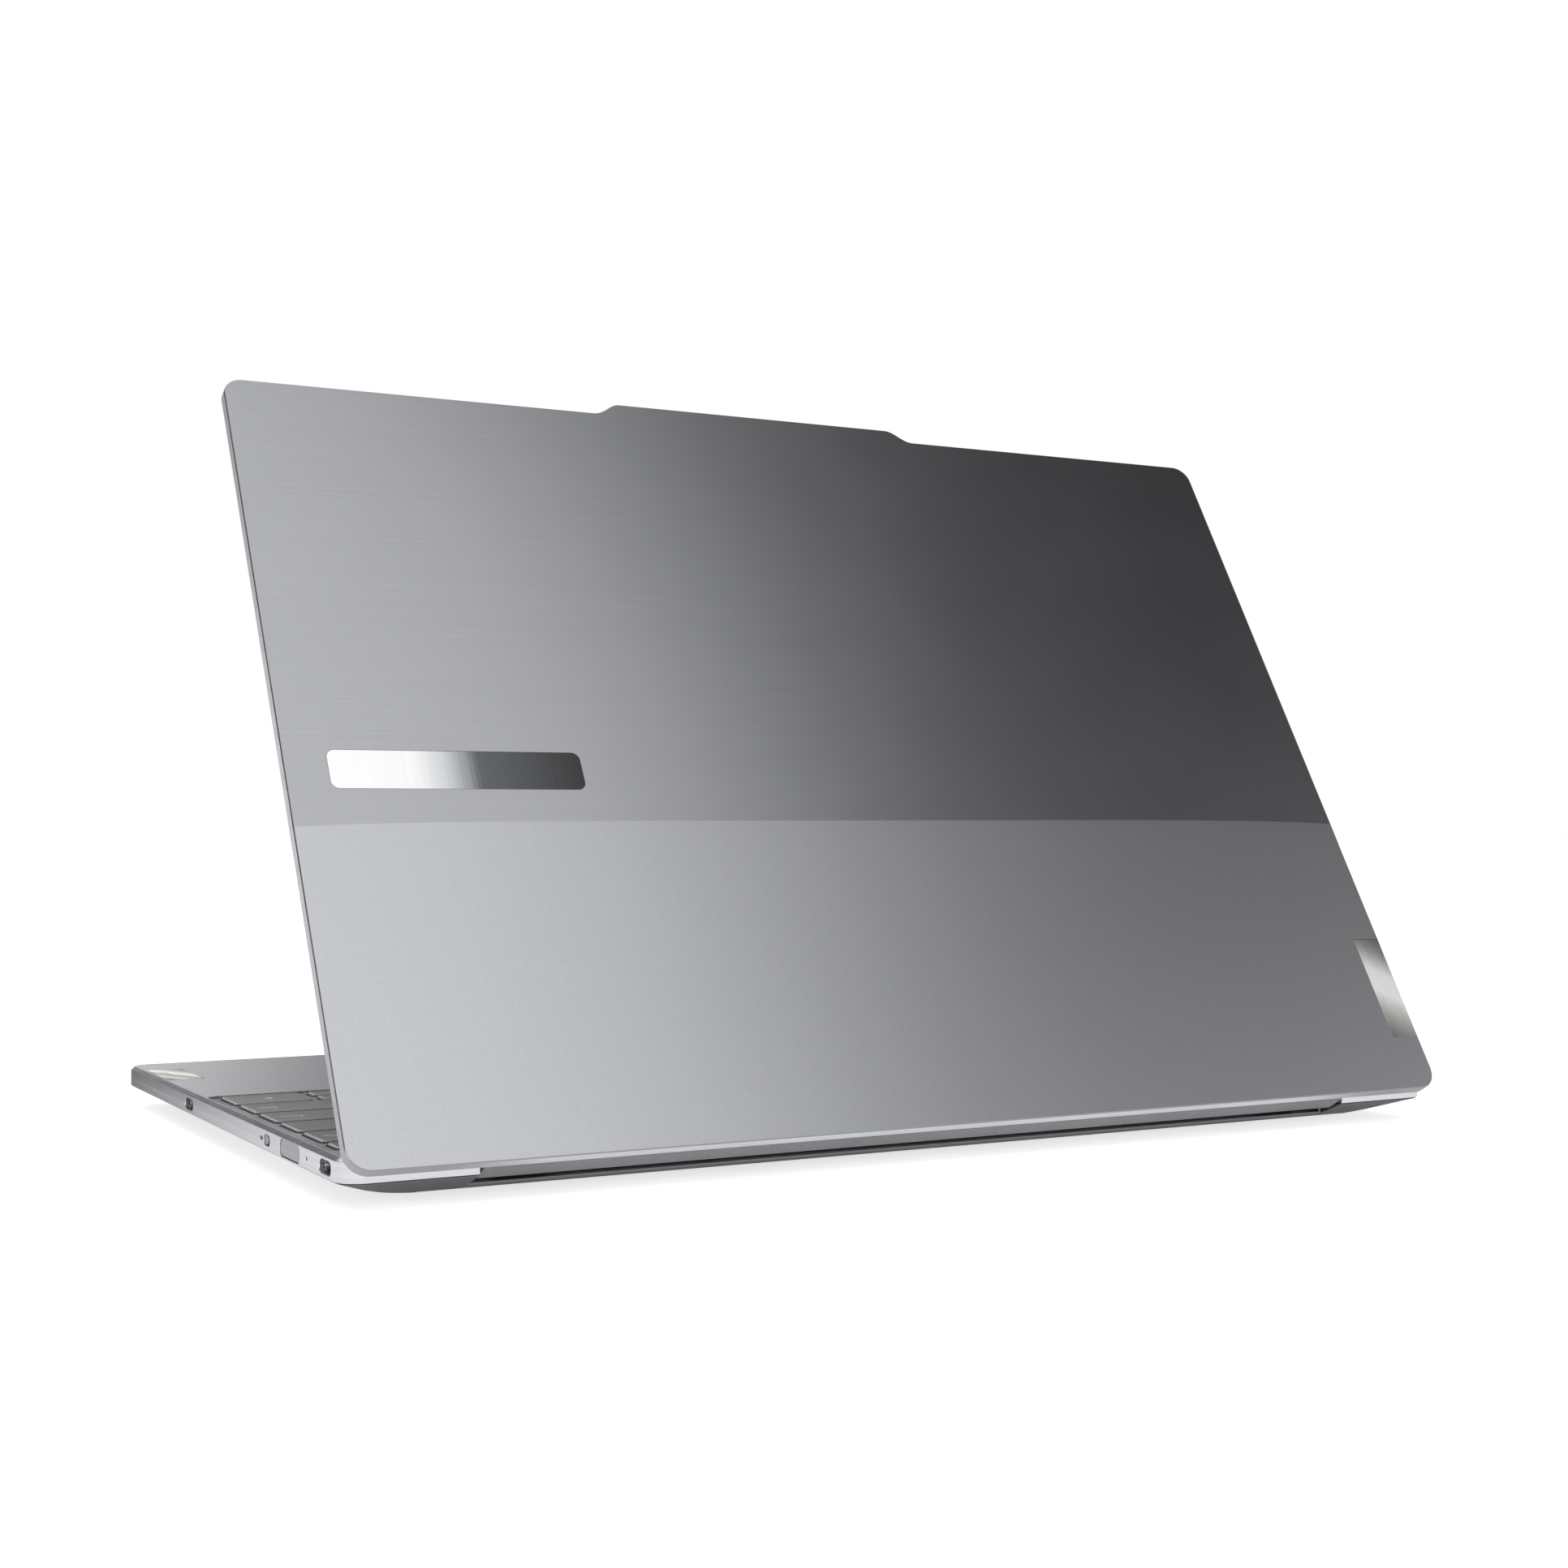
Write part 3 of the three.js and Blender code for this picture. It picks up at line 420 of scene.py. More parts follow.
class Recipe(Tree):
    """A material kept in M, with short calls for its patterns and colours."""

    def __init__(self, name):
        M[name] = bpy.data.materials.new(name)
        M[name].use_nodes = True
        super().__init__(M[name].node_tree)
        self.shader = self.tree.nodes["Principled BSDF"]
        self.place = self.node("ShaderNodeTexCoord").outputs["Object"]

    def set(self, **values):
        for key, value in values.items():
            name = key.replace("_", " ").title().replace("Ior", "IOR")
            self.feed(self.shader.inputs[name], value)
        return self

    def mapped(self, scale=(1, 1, 1), rotation=(0, 0, 0), shift=(0, 0, 0), source=None):
        ways = {"Scale": scale, "Rotation": rotation, "Location": shift}
        return self.node("ShaderNodeMapping", {"Vector": source or self.place, **ways}).outputs[0]

    def lid_place(self):
        """Coordinates with the lid closed and the hinge axis as origin, in metres."""
        back = Matrix.Rotation(math.radians(LID_REST_DEG), 3, "X")
        shift = back @ Vector((0, -HINGE_Y * MM, -HINGE_Z * MM))
        return self.mapped(rotation=(math.radians(LID_REST_DEG), 0, 0), shift=shift)

    def noise(self, scale, detail=2.0, roughness=0.5, source=None):
        ways = {"Scale": scale, "Detail": detail, "Roughness": roughness}
        return self.node("ShaderNodeTexNoise", {"Vector": source or self.place, **ways}).outputs["Fac"]

    def streaks(self, scale, detail=2.0, roughness=0.5, rotation=(0, 0, 0), source=None):
        """Noise drawn out along the axes that have a low scale."""
        return self.noise(1, detail, roughness, self.mapped(scale, rotation, source=source))

    def blend(self, a, b, share):
        return self.plus(self.times(a, 1 - share), self.times(b, share))

    def ruffle(self, value, pattern, amount):
        """A value shifted up and down a little by a pattern."""
        return self.plus(value, self.times(self.minus(pattern, 0.5), amount))

    def tone(self, value, *stops):
        """A grey or coloured ramp; each stop is (position, grey or colour)."""
        made = self.node("ShaderNodeValToRGB", {0: value})
        ramp = made.color_ramp
        while len(ramp.elements) < len(stops):
            ramp.elements.new(0.5)
        for element, (position, colour) in zip(ramp.elements, stops):
            element.position = position
            grey = isinstance(colour, (int, float))
            element.color = (colour, colour, colour, 1) if grey else (*colour, 1)
        return made.outputs["Color"]

    def mix(self, factor, a, b):
        return self.node("ShaderNodeMix", {0: factor, 6: a, 7: b}, data_type="RGBA").outputs[2]

    def vary(self, pattern, colour, spread):
        """A base colour that a pattern makes a little darker and lighter."""
        low, high = ([c * (1 + k * spread) for c in colour] for k in (-1, 1))
        return self.set(base_color=self.tone(pattern, (0.3, low), (0.7, high)))

    def rough(self, pattern, low, high):
        self.set(roughness=self.span(pattern, low, high, 0.3, 0.7))

    def bump(self, height, distance, strength):
        ways = {"Height": height, "Distance": distance, "Strength": strength}
        self.set(normal=self.node("ShaderNodeBump", ways).outputs[0])


def blasted(name, grey, roughness, grain=0.05):
    """Bead-blasted and anodised aluminium: fine even grain, faint slow cloudiness."""
    r = Recipe(name)
    fine = r.noise(3200, 1.5)
    r.vary(r.blend(fine, r.noise(45), 0.2), cool(grey), grain).set(metallic=1.0)
    r.rough(fine, roughness - 0.015, roughness + 0.015)
    r.bump(fine, 0.000006, 0.3)


def brushed(name, grey, roughness, scale=(3, 3, 900), depth=0.000012, tint=COOL, grain=0.06):
    """Metal with fine parallel scratches that run square to the axis with the high scale."""
    r = Recipe(name)
    lines = r.streaks([s * 7 for s in scale], 3, 0.6)
    wide = r.streaks([s * 1.3 for s in scale])
    level = r.blend(lines, wide, 0.4)
    r.vary(level, [grey * t for t in tint], grain).set(metallic=1.0)
    r.rough(level, roughness - 0.06, roughness + 0.06)
    r.bump(lines, depth, 0.6)


def lid_finish():
    """Two finishes on one skin: satin above the seam line, bead-blasted below it."""
    r = Recipe("lid")
    local = r.lid_place()
    x, y, _ = r.split(local)
    height = r.minus(LID_EDGE * MM, y)
    droop = r.math("POWER", r.times(r.math("ABSOLUTE", x), 1 / (HALF * MM)), 6.0)
    line = r.minus(FINISH_SEAM * MM, r.times(droop, 1.35 * MM))
    above = r.math("GREATER_THAN", height, line)
    fine = r.noise(2400, 2.5, 0.7)
    slow = r.noise(30)
    hairs = r.streaks((12, 3000, 3000), source=local)
    satin = r.tone(hairs, (0.3, cool(0.462)), (0.7, cool(0.482)))
    blast = r.tone(r.blend(fine, slow, 0.1), (0.3, cool(0.565)), (0.7, cool(0.635)))
    r.set(base_color=r.mix(above, blast, satin), metallic=1.0)
    rough_low = r.span(fine, 0.28, 0.292, 0.3, 0.7)
    rough_high = r.span(slow, 0.233, 0.243, 0.3, 0.7)
    r.set(roughness=r.plus(rough_low, r.times(above, r.minus(rough_high, rough_low))))
    r.bump(r.times(fine, r.minus(1.0, r.times(above, 0.85))), 0.000004, 0.4)


def lid_edge_with_painted_light():
    """The lid's machined rim, with painted light: painted brightest under the lid between the corners as a
    painted reflection of the pale floor, and painted duller towards its top as painted shade.
    """
    r = Recipe("lid_edge")
    x, y, _ = r.split(r.lid_place())
    inner = r.span(r.math("ABSOLUTE", x), 1.0, 0.0, 0.100, 0.128, smooth=True)
    low = r.span(y, 0.0, 1.0, up(16) * MM, up(4) * MM, smooth=True)
    fine = r.streaks((20, 400, 400))
    # Painted reflection: the rim under the lid, between its corners, is painted bright.
    bright = r.tone(fine, (0.3, cool(0.8)), (0.7, cool(0.87)))
    # Painted shade: elsewhere the rim is painted darker, darkest towards the lid's top.
    down = r.ruffle(r.span(y, 0.0, 1.0, -0.2, 0.0), fine, 0.1)
    side = r.tone(down, (0.0, cool(0.36)), (0.4, cool(0.43)), (0.85, cool(0.52)), (1.0, cool(0.44)))
    r.set(base_color=r.mix(r.times(inner, low), side, bright), metallic=0.2)
    r.rough(fine, 0.42, 0.52)
    r.bump(fine, 0.000006, 0.4)


def plastic(name, colour, roughness, grain=900, depth=0.00002, spread=0.08):
    """Moulded plastic with a fine spark-eroded texture."""
    r = Recipe(name)
    fine = r.noise(grain)
    r.vary(r.noise(60), colour, spread)
    r.rough(fine, roughness - 0.06, roughness + 0.06)
    r.bump(fine, depth, 0.5)


def bar_with_painted_reflection():
    """Polished inlay with a painted reflection: painted bright silver at one end, falling to painted dark
    along its length.
    """
    r = Recipe("bar")
    x = r.split(r.lid_place())[0]
    streak = r.streaks((2500, 20, 20), 3, 0.6)
    # Painted reflection: the colour runs from bright to dark along the bar.
    level = r.ruffle(r.span(x, 1.0, 0.0, LID_BAR[0] * MM, LID_BAR[1] * MM), streak, 0.05)
    painted_falloff = ((0.45, (0.62, 0.63, 0.65)), (0.58, (0.13, 0.135, 0.145)))
    r.set(base_color=r.tone(level, (0.0, 0.98), (0.32, 0.95), *painted_falloff, (1.0, 0.055)), metallic=1.0)
    r.rough(streak, 0.12, 0.2)


TAG_HIGHLIGHT_SLANT = -0.6
TAG_HIGHLIGHT_ENDS = (0.0975, 0.1305)


def tag_with_painted_highlight():
    """Brushed edge tag, coarser along a soft slanting band across its middle, where a painted highlight also
    makes it brighter.
    """
    r = Recipe("tag")
    x, y, _ = r.split(r.lid_place())
    highlight_lean = r.plus(r.minus(LID_EDGE * MM, y), r.times(x, TAG_HIGHLIGHT_SLANT))
    streak = r.streaks((2600, 60, 60), 3, 0.6)
    level = r.ruffle(r.span(highlight_lean, 0.0, 1.0, *TAG_HIGHLIGHT_ENDS), streak, 0.12)
    # Painted highlight: brightest in the middle of the slanting band, darker towards its ends.
    left = ((0.0, (0.36, 0.37, 0.35)), (0.25, (0.62, 0.63, 0.60)))
    right = ((0.85, (0.5, 0.51, 0.485)), (1.0, (0.34, 0.35, 0.33)))
    colour = r.tone(level, *left, (0.45, 0.97), (0.65, 0.95), *right)
    wide = r.span(r.math("ABSOLUTE", r.minus(level, 0.5)), 0.56, 0.34, 0.1, 0.45)
    r.set(base_color=colour, metallic=1.0, roughness=wide)
    r.bump(streak, 0.00001, 0.5)


PLATE_REFLECTION_SLANT = 0.45


def plate_with_painted_reflection():
    """Thin mirror-plated badge with a painted reflection: slow slanting bands of painted dark and bright."""
    r = Recipe("plate")
    x, y, _ = r.split(r.place)
    ends = [(c[0] + PLATE_REFLECTION_SLANT * c[1]) * MM for c in edges("palm_rest_plate")]
    fine = r.streaks((1500, 40, 40), rotation=(0, 0, 0.42))
    level = r.ruffle(r.span(r.plus(x, r.times(y, PLATE_REFLECTION_SLANT)), 0.0, 1.0, *ends), fine, 0.1)
    # Painted reflection: dark and bright bands, in the base colour and the specular tint.
    left = ((0.0, (0.20, 0.205, 0.2)), (0.22, (0.45, 0.46, 0.44)), (0.42, (0.80, 0.81, 0.775)))
    right = ((0.58, (0.40, 0.41, 0.385)), (0.78, (0.64, 0.65, 0.62)), (1.0, (0.16, 0.165, 0.16)))
    colour = r.tone(level, *left, *right)
    r.set(base_color=colour, specular_tint=colour, metallic=1.0)
    r.rough(fine, 0.1, 0.2)


def glass_finish():
    """Black cover glass; the lit area of the panel below shows as a slightly bluer grey."""
    r = Recipe("glass")
    local = r.lid_place()
    x, y, _ = r.split(local)
    height = r.minus(LID_EDGE * MM, y)
    across = r.math("LESS_THAN", r.math("ABSOLUTE", x), SCREEN_HALF * MM)
    over_foot = r.math("GREATER_THAN", height, SCREEN_FOOT * MM)
    under_head = r.math("LESS_THAN", height, SCREEN_HEAD * MM)
    area = r.times(across, r.times(over_foot, under_head))
    r.set(base_color=r.mix(area, (0.003, 0.003, 0.0035, 1), (0.010, 0.011, 0.014, 1)))
    smudge = r.noise(18, 3, 0.6, local)
    r.set(roughness=r.span(smudge, 0.045, 0.075, 0.35, 0.7), coat_weight=0.3, coat_roughness=0.04)


def board_finish():
    """Solder-masked circuit board with pads, tracks and dark packages."""
    r = Recipe("board")
    grid = {"Vector": r.place, "Scale": 420}
    dots = r.node("ShaderNodeTexVoronoi", grid, feature="F1", distance="CHEBYCHEV")
    pads = r.math("LESS_THAN", dots.outputs["Distance"], 0.16)
    tracks = r.streaks((900, 60, 60), 1)
    mask = r.tone(tracks, (0.45, (0.006, 0.035, 0.03)), (0.55, (0.012, 0.06, 0.05)))
    r.set(base_color=r.mix(pads, mask, (0.62, 0.50, 0.28, 1)), metallic=pads)
    r.rough(tracks, 0.35, 0.5)
    r.bump(r.plus(tracks, pads), 0.00003, 0.6)


def cell_finish():
    """Pouch cells in a black sleeve with a faint wrinkle."""
    r = Recipe("cell")
    wrinkle = r.noise(120, 4, 0.6)
    r.set(base_color=r.tone(wrinkle, (0.3, (0.014, 0.015, 0.017)), (0.7, (0.03, 0.031, 0.035))))
    r.rough(wrinkle, 0.32, 0.5)
    r.bump(wrinkle, 0.0003, 0.5)


def well_finish():
    """Floor of the keyboard well: anodised, with a fine cross-hatched brushing."""
    r = Recipe("well")
    level = r.blend(r.streaks((60, 2600, 60)), r.streaks((1700, 30, 30)), 0.8)
    tones = r.tone(level, (0.35, cool(0.46)), (0.65, cool(0.66)))
    r.set(base_color=tones, specular_tint=tones, metallic=1.0)
    r.rough(level, 0.38, 0.5)
    r.bump(level, 0.00002, 0.5)


def keycap_finish(name, grey, roughness=0.36):
    """Soft-touch coated keycap with a very fine orange peel."""
    r = Recipe(name)
    peel = r.noise(2400)
    dark, light = ([grey * k for k in tint] for tint in ((0.94, 0.95, 0.97), (1.02, 1.03, 1.06)))
    r.set(base_color=r.tone(r.noise(90), (0.3, dark), (0.7, light)), specular_ior_level=0.9)
    r.rough(peel, roughness, roughness + 0.08)
    r.bump(peel, 0.00002, 0.4)


lid_finish()
lid_edge_with_painted_light()
well_finish()
plate_with_painted_reflection()
bar_with_painted_reflection()
tag_with_painted_highlight()
glass_finish()
board_finish()
cell_finish()
blasted("deck", 0.58, 0.34)
# Painted shade: the bottom cover's dark grey stands in for the shaded floor under the laptop that its bevel
# reflects.
blasted("bottom", 0.19, 0.40)
blasted("pad", 0.60, 0.33, grain=0.015)
blasted("button", 0.40, 0.34, grain=0.03)
# Painted shade: the lid's chamfer is darker than the lid, for a dark line between its back and its rim.
brushed("lid_chamfer", 0.40, 0.3, scale=(3, 60, 60))
brushed("band", 0.80, 0.2, depth=0.00002, grain=0.15)
brushed("deck_chamfer", 0.56, 0.18, scale=(40, 40, 400))
brushed("steel", 0.56, 0.28, scale=(90, 3, 3))
brushed("port", 0.70, 0.22, scale=(60, 3, 3))
brushed("gold", 0.8, 0.25, scale=(60, 3, 3), tint=GILT)
brushed("screw", 0.12, 0.34, scale=(60, 60, 3))
brushed("copper", 0.85, 0.3, scale=(3, 90, 90), tint=COPPER)
keycap_finish("key", 0.23)
# Painted highlight on the rounded top edge: a lighter grey than the top, with a glossier surface that is
# real.
keycap_finish("key_edge", 0.42, roughness=0.24)
# Painted shade: the skirt and the inside of the cap are near-black.
keycap_finish("key_side", 0.012)
plastic("legend", (0.93, 0.94, 0.95), 0.45, spread=0.03)
plastic("cover", (0.26, 0.263, 0.27), 0.32, grain=1500, depth=0.00001)
plastic("bezel", (0.012, 0.012, 0.013), 0.55)
plastic("rubber", (0.022, 0.022, 0.023), 0.75, grain=700, depth=0.00004)
plastic("inner", (0.02, 0.021, 0.023), 0.5)
plastic("guide", (0.8, 0.8, 0.78), 0.25)


# ---- Key layout ----


def cells(widths):
    """Key widths of a row, left to right, as (x0, x1) pairs."""
    start = -KEYBOARD_HALF
    spans = []
    for width in widths:
        spans.append((start + KEY_GAP / 2, start + width - KEY_GAP / 2))
        start += width
    return spans


def row_y(row):
    return FIRST_ROW_Y + row * KEY_PITCH


def key_row(spans, labels, y, depth=KEY_DEPTH):
    span_y = (y - depth / 2, y + depth / 2)
    return [{"x": span, "y": span_y, "label": label} for span, label in zip(spans, labels)]


def full_row(labels, y, first, last, depth=KEY_DEPTH):
    """A row whose keys are one unit wide between its first and its last."""
    widths = [first] + [1] * (len(labels) - 2) + [last]
    return key_row(cells([width * KEY_UNIT for width in widths]), labels, y, depth)


def front_row():
    """The row nearest the user; its arrow keys include two half-height ones."""
    wide = 1.25 * KEY_UNIT
    space = 2 * KEYBOARD_HALF - wide - 5 * KEY_UNIT - 3 * ARROW_UNIT
    spans = cells([wide, KEY_UNIT, KEY_UNIT, KEY_UNIT, space, KEY_UNIT, KEY_UNIT] + [ARROW_UNIT] * 3)
    labels = ["Ctrl", "Fn", "<dot>", "Alt", "", "Alt", "Ctrl", "<left>", "", "<right>"]
    y = row_y(0)
    keys = key_row(spans, labels, y)
    down = key_row(spans[8:9], ["<down>"], y - HALF_KEY_SHIFT, HALF_KEY_DEPTH)
    above = key_row(spans[8:9], ["<up>"], y + HALF_KEY_SHIFT, HALF_KEY_DEPTH)
    return {
        "modifier_keys_left": keys[:4],
        "space_bar": keys[4:5],
        "modifier_keys_right": keys[5:8] + down + above,
        "right_arrow_key": keys[9:],
    }


def key_groups():
    function_y = row_y(4) + KEY_DEPTH / 2 + KEY_GAP - 0.3 + FUNCTION_DEPTH / 2
    lower = full_row(["Shift", *"ZXCVBNM", ",<", ".>", "/?", "Shift"], row_y(1), 2.25, 2.75)
    home = full_row(["Caps", *"ASDFGHJKL", ";:", "'\"", "Enter"], row_y(2), 1.75, 2.25)
    upper = full_row(["Tab", *"QWERTYUIOP", "[{", "]}", "\\|"], row_y(3), 1.5, 1.5)
    digits = ["`~", "1!", "2@", "3#", "4$", "5%", "6^", "7&", "8*", "9(", "0)", "-_", "=+", "Backspace"]
    number = full_row(digits, row_y(4), 1, 2)
    names = ["Esc"] + [f"F{n}" for n in range(1, 13)] + ["Del"]
    return {
        **front_row(),
        "lower_letter_keys": lower,
        "home_letter_keys": home[:-1],
        "enter_key": home[-1:],
        "upper_letter_keys": upper,
        "number_keys": number[:-1],
        "backspace_key": number[-1:],
        "function_keys": full_row(names, function_y, 1.5, 1.5, FUNCTION_DEPTH),
    }


KEY_GROUPS = key_groups()
KEY_CORNER = 1.5
KEY_EDGE = 0.3
KEY_DRAFT = 0.3
KEY_DISH = 0.1
KEY_SHELL = 0.9
KEY_EDGE_STEPS = 4


def key_rect(key, d=0.0):
    return grow((*key["x"], *key["y"], KEY_CORNER), d)


def dish_reach(key):
    """How far in from its edges a key's top goes on falling."""
    return min(5.0, 0.36 * (key["y"][1] - key["y"][0]))


def dish_fall(share):
    return KEY_DISH * (1 - (1 - share) ** 2)


def dish_drop(key, x, y):
    """How far the dished top lies below the key's rim at a point."""
    rim = KEY_DRAFT + KEY_EDGE
    away = min(x - key["x"][0], key["x"][1] - x, y - key["y"][0], key["y"][1] - y) - rim
    return dish_fall(min(max(away / dish_reach(key), 0), 1))


def keycap(key):
    """A hollow cap: skirt with a little draft, rounded edge and dished top."""
    steps = [(KEY_SHELL, KEY_TOP - KEY_SHELL), (KEY_SHELL, KEY_FOOT), (0, KEY_FOOT)]
    # The skirt and inside take the second finish, painted near-black as shade; the rounded edge takes the
    # third, a lighter painted highlight.
    marks = [1] * len(steps) + [2] * KEY_EDGE_STEPS
    for d, rise in round_over(KEY_EDGE, KEY_EDGE_STEPS):
        steps.append((KEY_DRAFT + d, KEY_TOP - KEY_EDGE + rise))
    for share in (0.12, 0.3, 0.55, 0.8, 1.0):
        steps.append((KEY_DRAFT + KEY_EDGE + share * dish_reach(key), KEY_TOP - dish_fall(share)))
    marks += [0] * (len(steps) - 1 - len(marks))
    rings = [(rounded_rect(key_rect(key, -d), 5), z) for d, z in steps]
    return Solid().loft(rings, marks, caps=(1, 0))


def key_stem(key):
    """The post under a cap that its scissor frame clips to."""
    x, y = sum(key["x"]) / 2, sum(key["y"]) / 2
    return Solid().box(x - 3, x + 3, y - 2.2, y + 2.2, KEY_FOOT - 0.25, KEY_TOP - KEY_SHELL + 0.1, 1)


# ---- Legends ----

LEGEND_RISE = 0.012
LETTER = 3.5
WORD = 2.7
ARROW_HEADINGS = {"<right>": 0, "<up>": 90, "<left>": 180, "<down>": 270}


def glyphs(text, size, x, y, align="LEFT"):
    """Thin closed letters lying at z 0, in millimetres."""
    curve = bpy.data.curves.new("glyphs", "FONT")
    curve.body = text
    curve.size = 1
    curve.align_x = align
    curve.align_y = "CENTER"
    curve.resolution_u = 3
    curve.extrude = LEGEND_RISE / size
    work = placed("glyphs", curve)
    mesh = evaluated_mesh(work)
    made = Solid()
    made.verts = [(v.co.x * size + x, v.co.y * size + y, v.co.z * size) for v in mesh.vertices]
    made.faces = [tuple(p.vertices) for p in mesh.polygons]
    made.marks = [0] * len(made.faces)
    bpy.data.objects.remove(work)
    bpy.data.curves.remove(curve)
    bpy.data.meshes.remove(mesh)
    return made


def arrow(x, y, size, heading):
    points = [(-size * 0.5, -size * 0.55), (size * 0.55, 0), (-size * 0.5, size * 0.55)]
    c, s = math.cos(math.radians(heading)), math.sin(math.radians(heading))
    outline = [(x + px * c - py * s, y + px * s + py * c) for px, py in points]
    return Solid().prism(outline, -LEGEND_RISE, LEGEND_RISE)


def key_legend(key):
    """The marks on one key, drawn flat round z 0."""
    label = key["label"]
    (x0, x1), (y0, y1) = key["x"], key["y"]
    x, y = (x0 + x1) / 2, (y0 + y1) / 2
    if not label:
        return Solid()
    if label in ARROW_HEADINGS:
        return arrow(x, y, 2.2, ARROW_HEADINGS[label])
    if label == "<dot>":
        return Solid().prism(circle(x, y, 1.5, 24), -LEGEND_RISE, LEGEND_RISE)
    if y1 - y0 < 12:
        return glyphs(label, WORD * 0.92, x, y, "CENTER")
    if len(label) == 1:
        return glyphs(label, LETTER, x0 + 3.4, y + 2.4)
    if len(label) == 2 and not label.isalpha():
        shifted = glyphs(label[1], LETTER * 0.8, x0 + 3.4, y + 3.2)
        return shifted.add(glyphs(label[0], LETTER * 0.9, x0 + 3.4, y - 2.6))
    if x0 > 60:
        return glyphs(label, WORD, x1 - 2.6, y + 0.2, "RIGHT")
    return glyphs(label, WORD, x0 + 2.6, y + 0.2)


def laid_on(key, legend):
    lift = KEY_TOP + LEGEND_RISE * 0.4
    legend.verts = [(x, y, z + lift - dish_drop(key, x, y)) for x, y, z in legend.verts]
    return legend


def closed(solid):
    """The mesh with its doubled vertices joined, so that each mark is one closed shell."""
    mesh = solid.mesh()
    work = bmesh.new()
    work.from_mesh(mesh)
    bmesh.ops.remove_doubles(work, verts=work.verts, dist=1e-7)
    bmesh.ops.recalc_face_normals(work, faces=work.faces)
    work.to_mesh(mesh)
    work.free()
    return mesh


def build_keys():
    for group, keys in KEY_GROUPS.items():
        caps = merged([keycap(key) for key in keys] + [key_stem(key) for key in keys])
        piece(f"{group}_caps", caps, "key key_side key_edge", group, group, sharp=50)
        marks = merged([laid_on(key, key_legend(key)) for key in keys])
        if marks.verts:
            piece(f"{group}_legends", closed(marks), "legend", group, smooth=False)


# ---- Base shells ----

BASE_STEPS = 12
BAND_MARK, CHAMFER_MARK, DECK_MARK, WELL_MARK, INSIDE_MARK = range(5)
USB_PORTS = {"usb_port_right_front": 1, "usb_port_right_rear": 1, "usb_port_left": -1}
SIDE_Z = middle("usb_port_left")[2]
JACK_Y = -30.3
POWER = (54.7, 70, 6.1, 9.7, 1.5)
SWITCH = (41.6, 46.2, 6.75, 9.15, 1.15)
CAMERA_SIGN = (38.5, 39.9, 7.5, 8.5, 0.25)
CAMERA_SIGN_HORN = [(40.0, 7.9), (40.6, 7.6), (40.6, 8.4), (40.0, 8.1)]
LIGHT_Y = 75.4
SCREWS = {f"screw_{n}": middle(f"screw_{n}")[:2] for n in range(1, 9)}
SCREW_HEAD_R = 1.9
FEET = ("foot_front", "foot_rear")


def port_rect(node):
    """Mouth of a USB receptacle in (y, z)."""
    _, y, z = middle(node)
    return y - 4.1, y + 4.1, z - 1.42, z + 1.42, 1.4


def cavity_outline(wall, notch_y):
    """The room inside the shells, stepped forward behind the hinge notch."""
    points = rounded_rect(grow(BASE, -wall), BASE_STEPS)
    right, left = points[: len(points) // 2], points[len(points) // 2 :]
    half, rear = NOTCH_HALF + WALL, right[-1][1]
    return right + [(half, rear), (half, notch_y), (-half, notch_y), (-half, rear)] + left


def notch_cutter(y0, z1):
    rect = (-NOTCH_HALF, NOTCH_HALF, y0, BASE_REAR + 10, 0.5)
    return Solid().prism(rounded_rect(rect, 4), 0, z1, CHAMFER_MARK)


def both_sides(count, first, pitch):
    """Places along X, mirrored to the user's left."""
    return [side * (first + pitch * i) for side in (-1, 1) for i in range(count)]


def passages():
    """Openings in the notch wall for the two hinge brackets."""
    made = Solid()
    for x in (-HINGE_X, HINGE_X):
        wall = (x - PASSAGE_HALF, x + PASSAGE_HALF, NOTCH_LIP_Y - 3, NOTCH_DECK_Y + 1)
        made.box(*wall, 4, CAVITY_TOP, INSIDE_MARK)
    return made


def side_cutters():
    """Ports, jack, button, switch and light pinhole, and a small camera sign beside the switch."""
    cuts = [
        flared_side(rounded_rect(port_rect(node)), side, 0.18, BAND_MARK)
        for node, side in USB_PORTS.items()
    ]
    cuts += [
        flared_side(circle(JACK_Y, SIDE_Z, 1.85, 40), -1, 0.2, INSIDE_MARK),
        flared_side(rounded_rect(grow(POWER, 0.12)), 1, 0.06, CHAMFER_MARK),
        flared_side(rounded_rect(SWITCH), 1, 0.08, CHAMFER_MARK),
        flared_side(circle(LIGHT_Y, SIDE_Z, 0.42, 20), 1, 0.03, INSIDE_MARK),
    ]
    for outline in (rounded_rect(CAMERA_SIGN, 3), CAMERA_SIGN_HORN):
        cuts.append(Solid().prism(outline, HALF - 0.06, HALF + 1, INSIDE_MARK, sideways))
    return merged(cuts)


def exhaust_cutters():
    made = Solid()
    for x in both_sides(9, 30, 7):
        made.box(x - 2.6, x + 2.6, NOTCH_DECK_Y - 3, NOTCH_DECK_Y + 1, 6.4, 9, INSIDE_MARK)
    return made


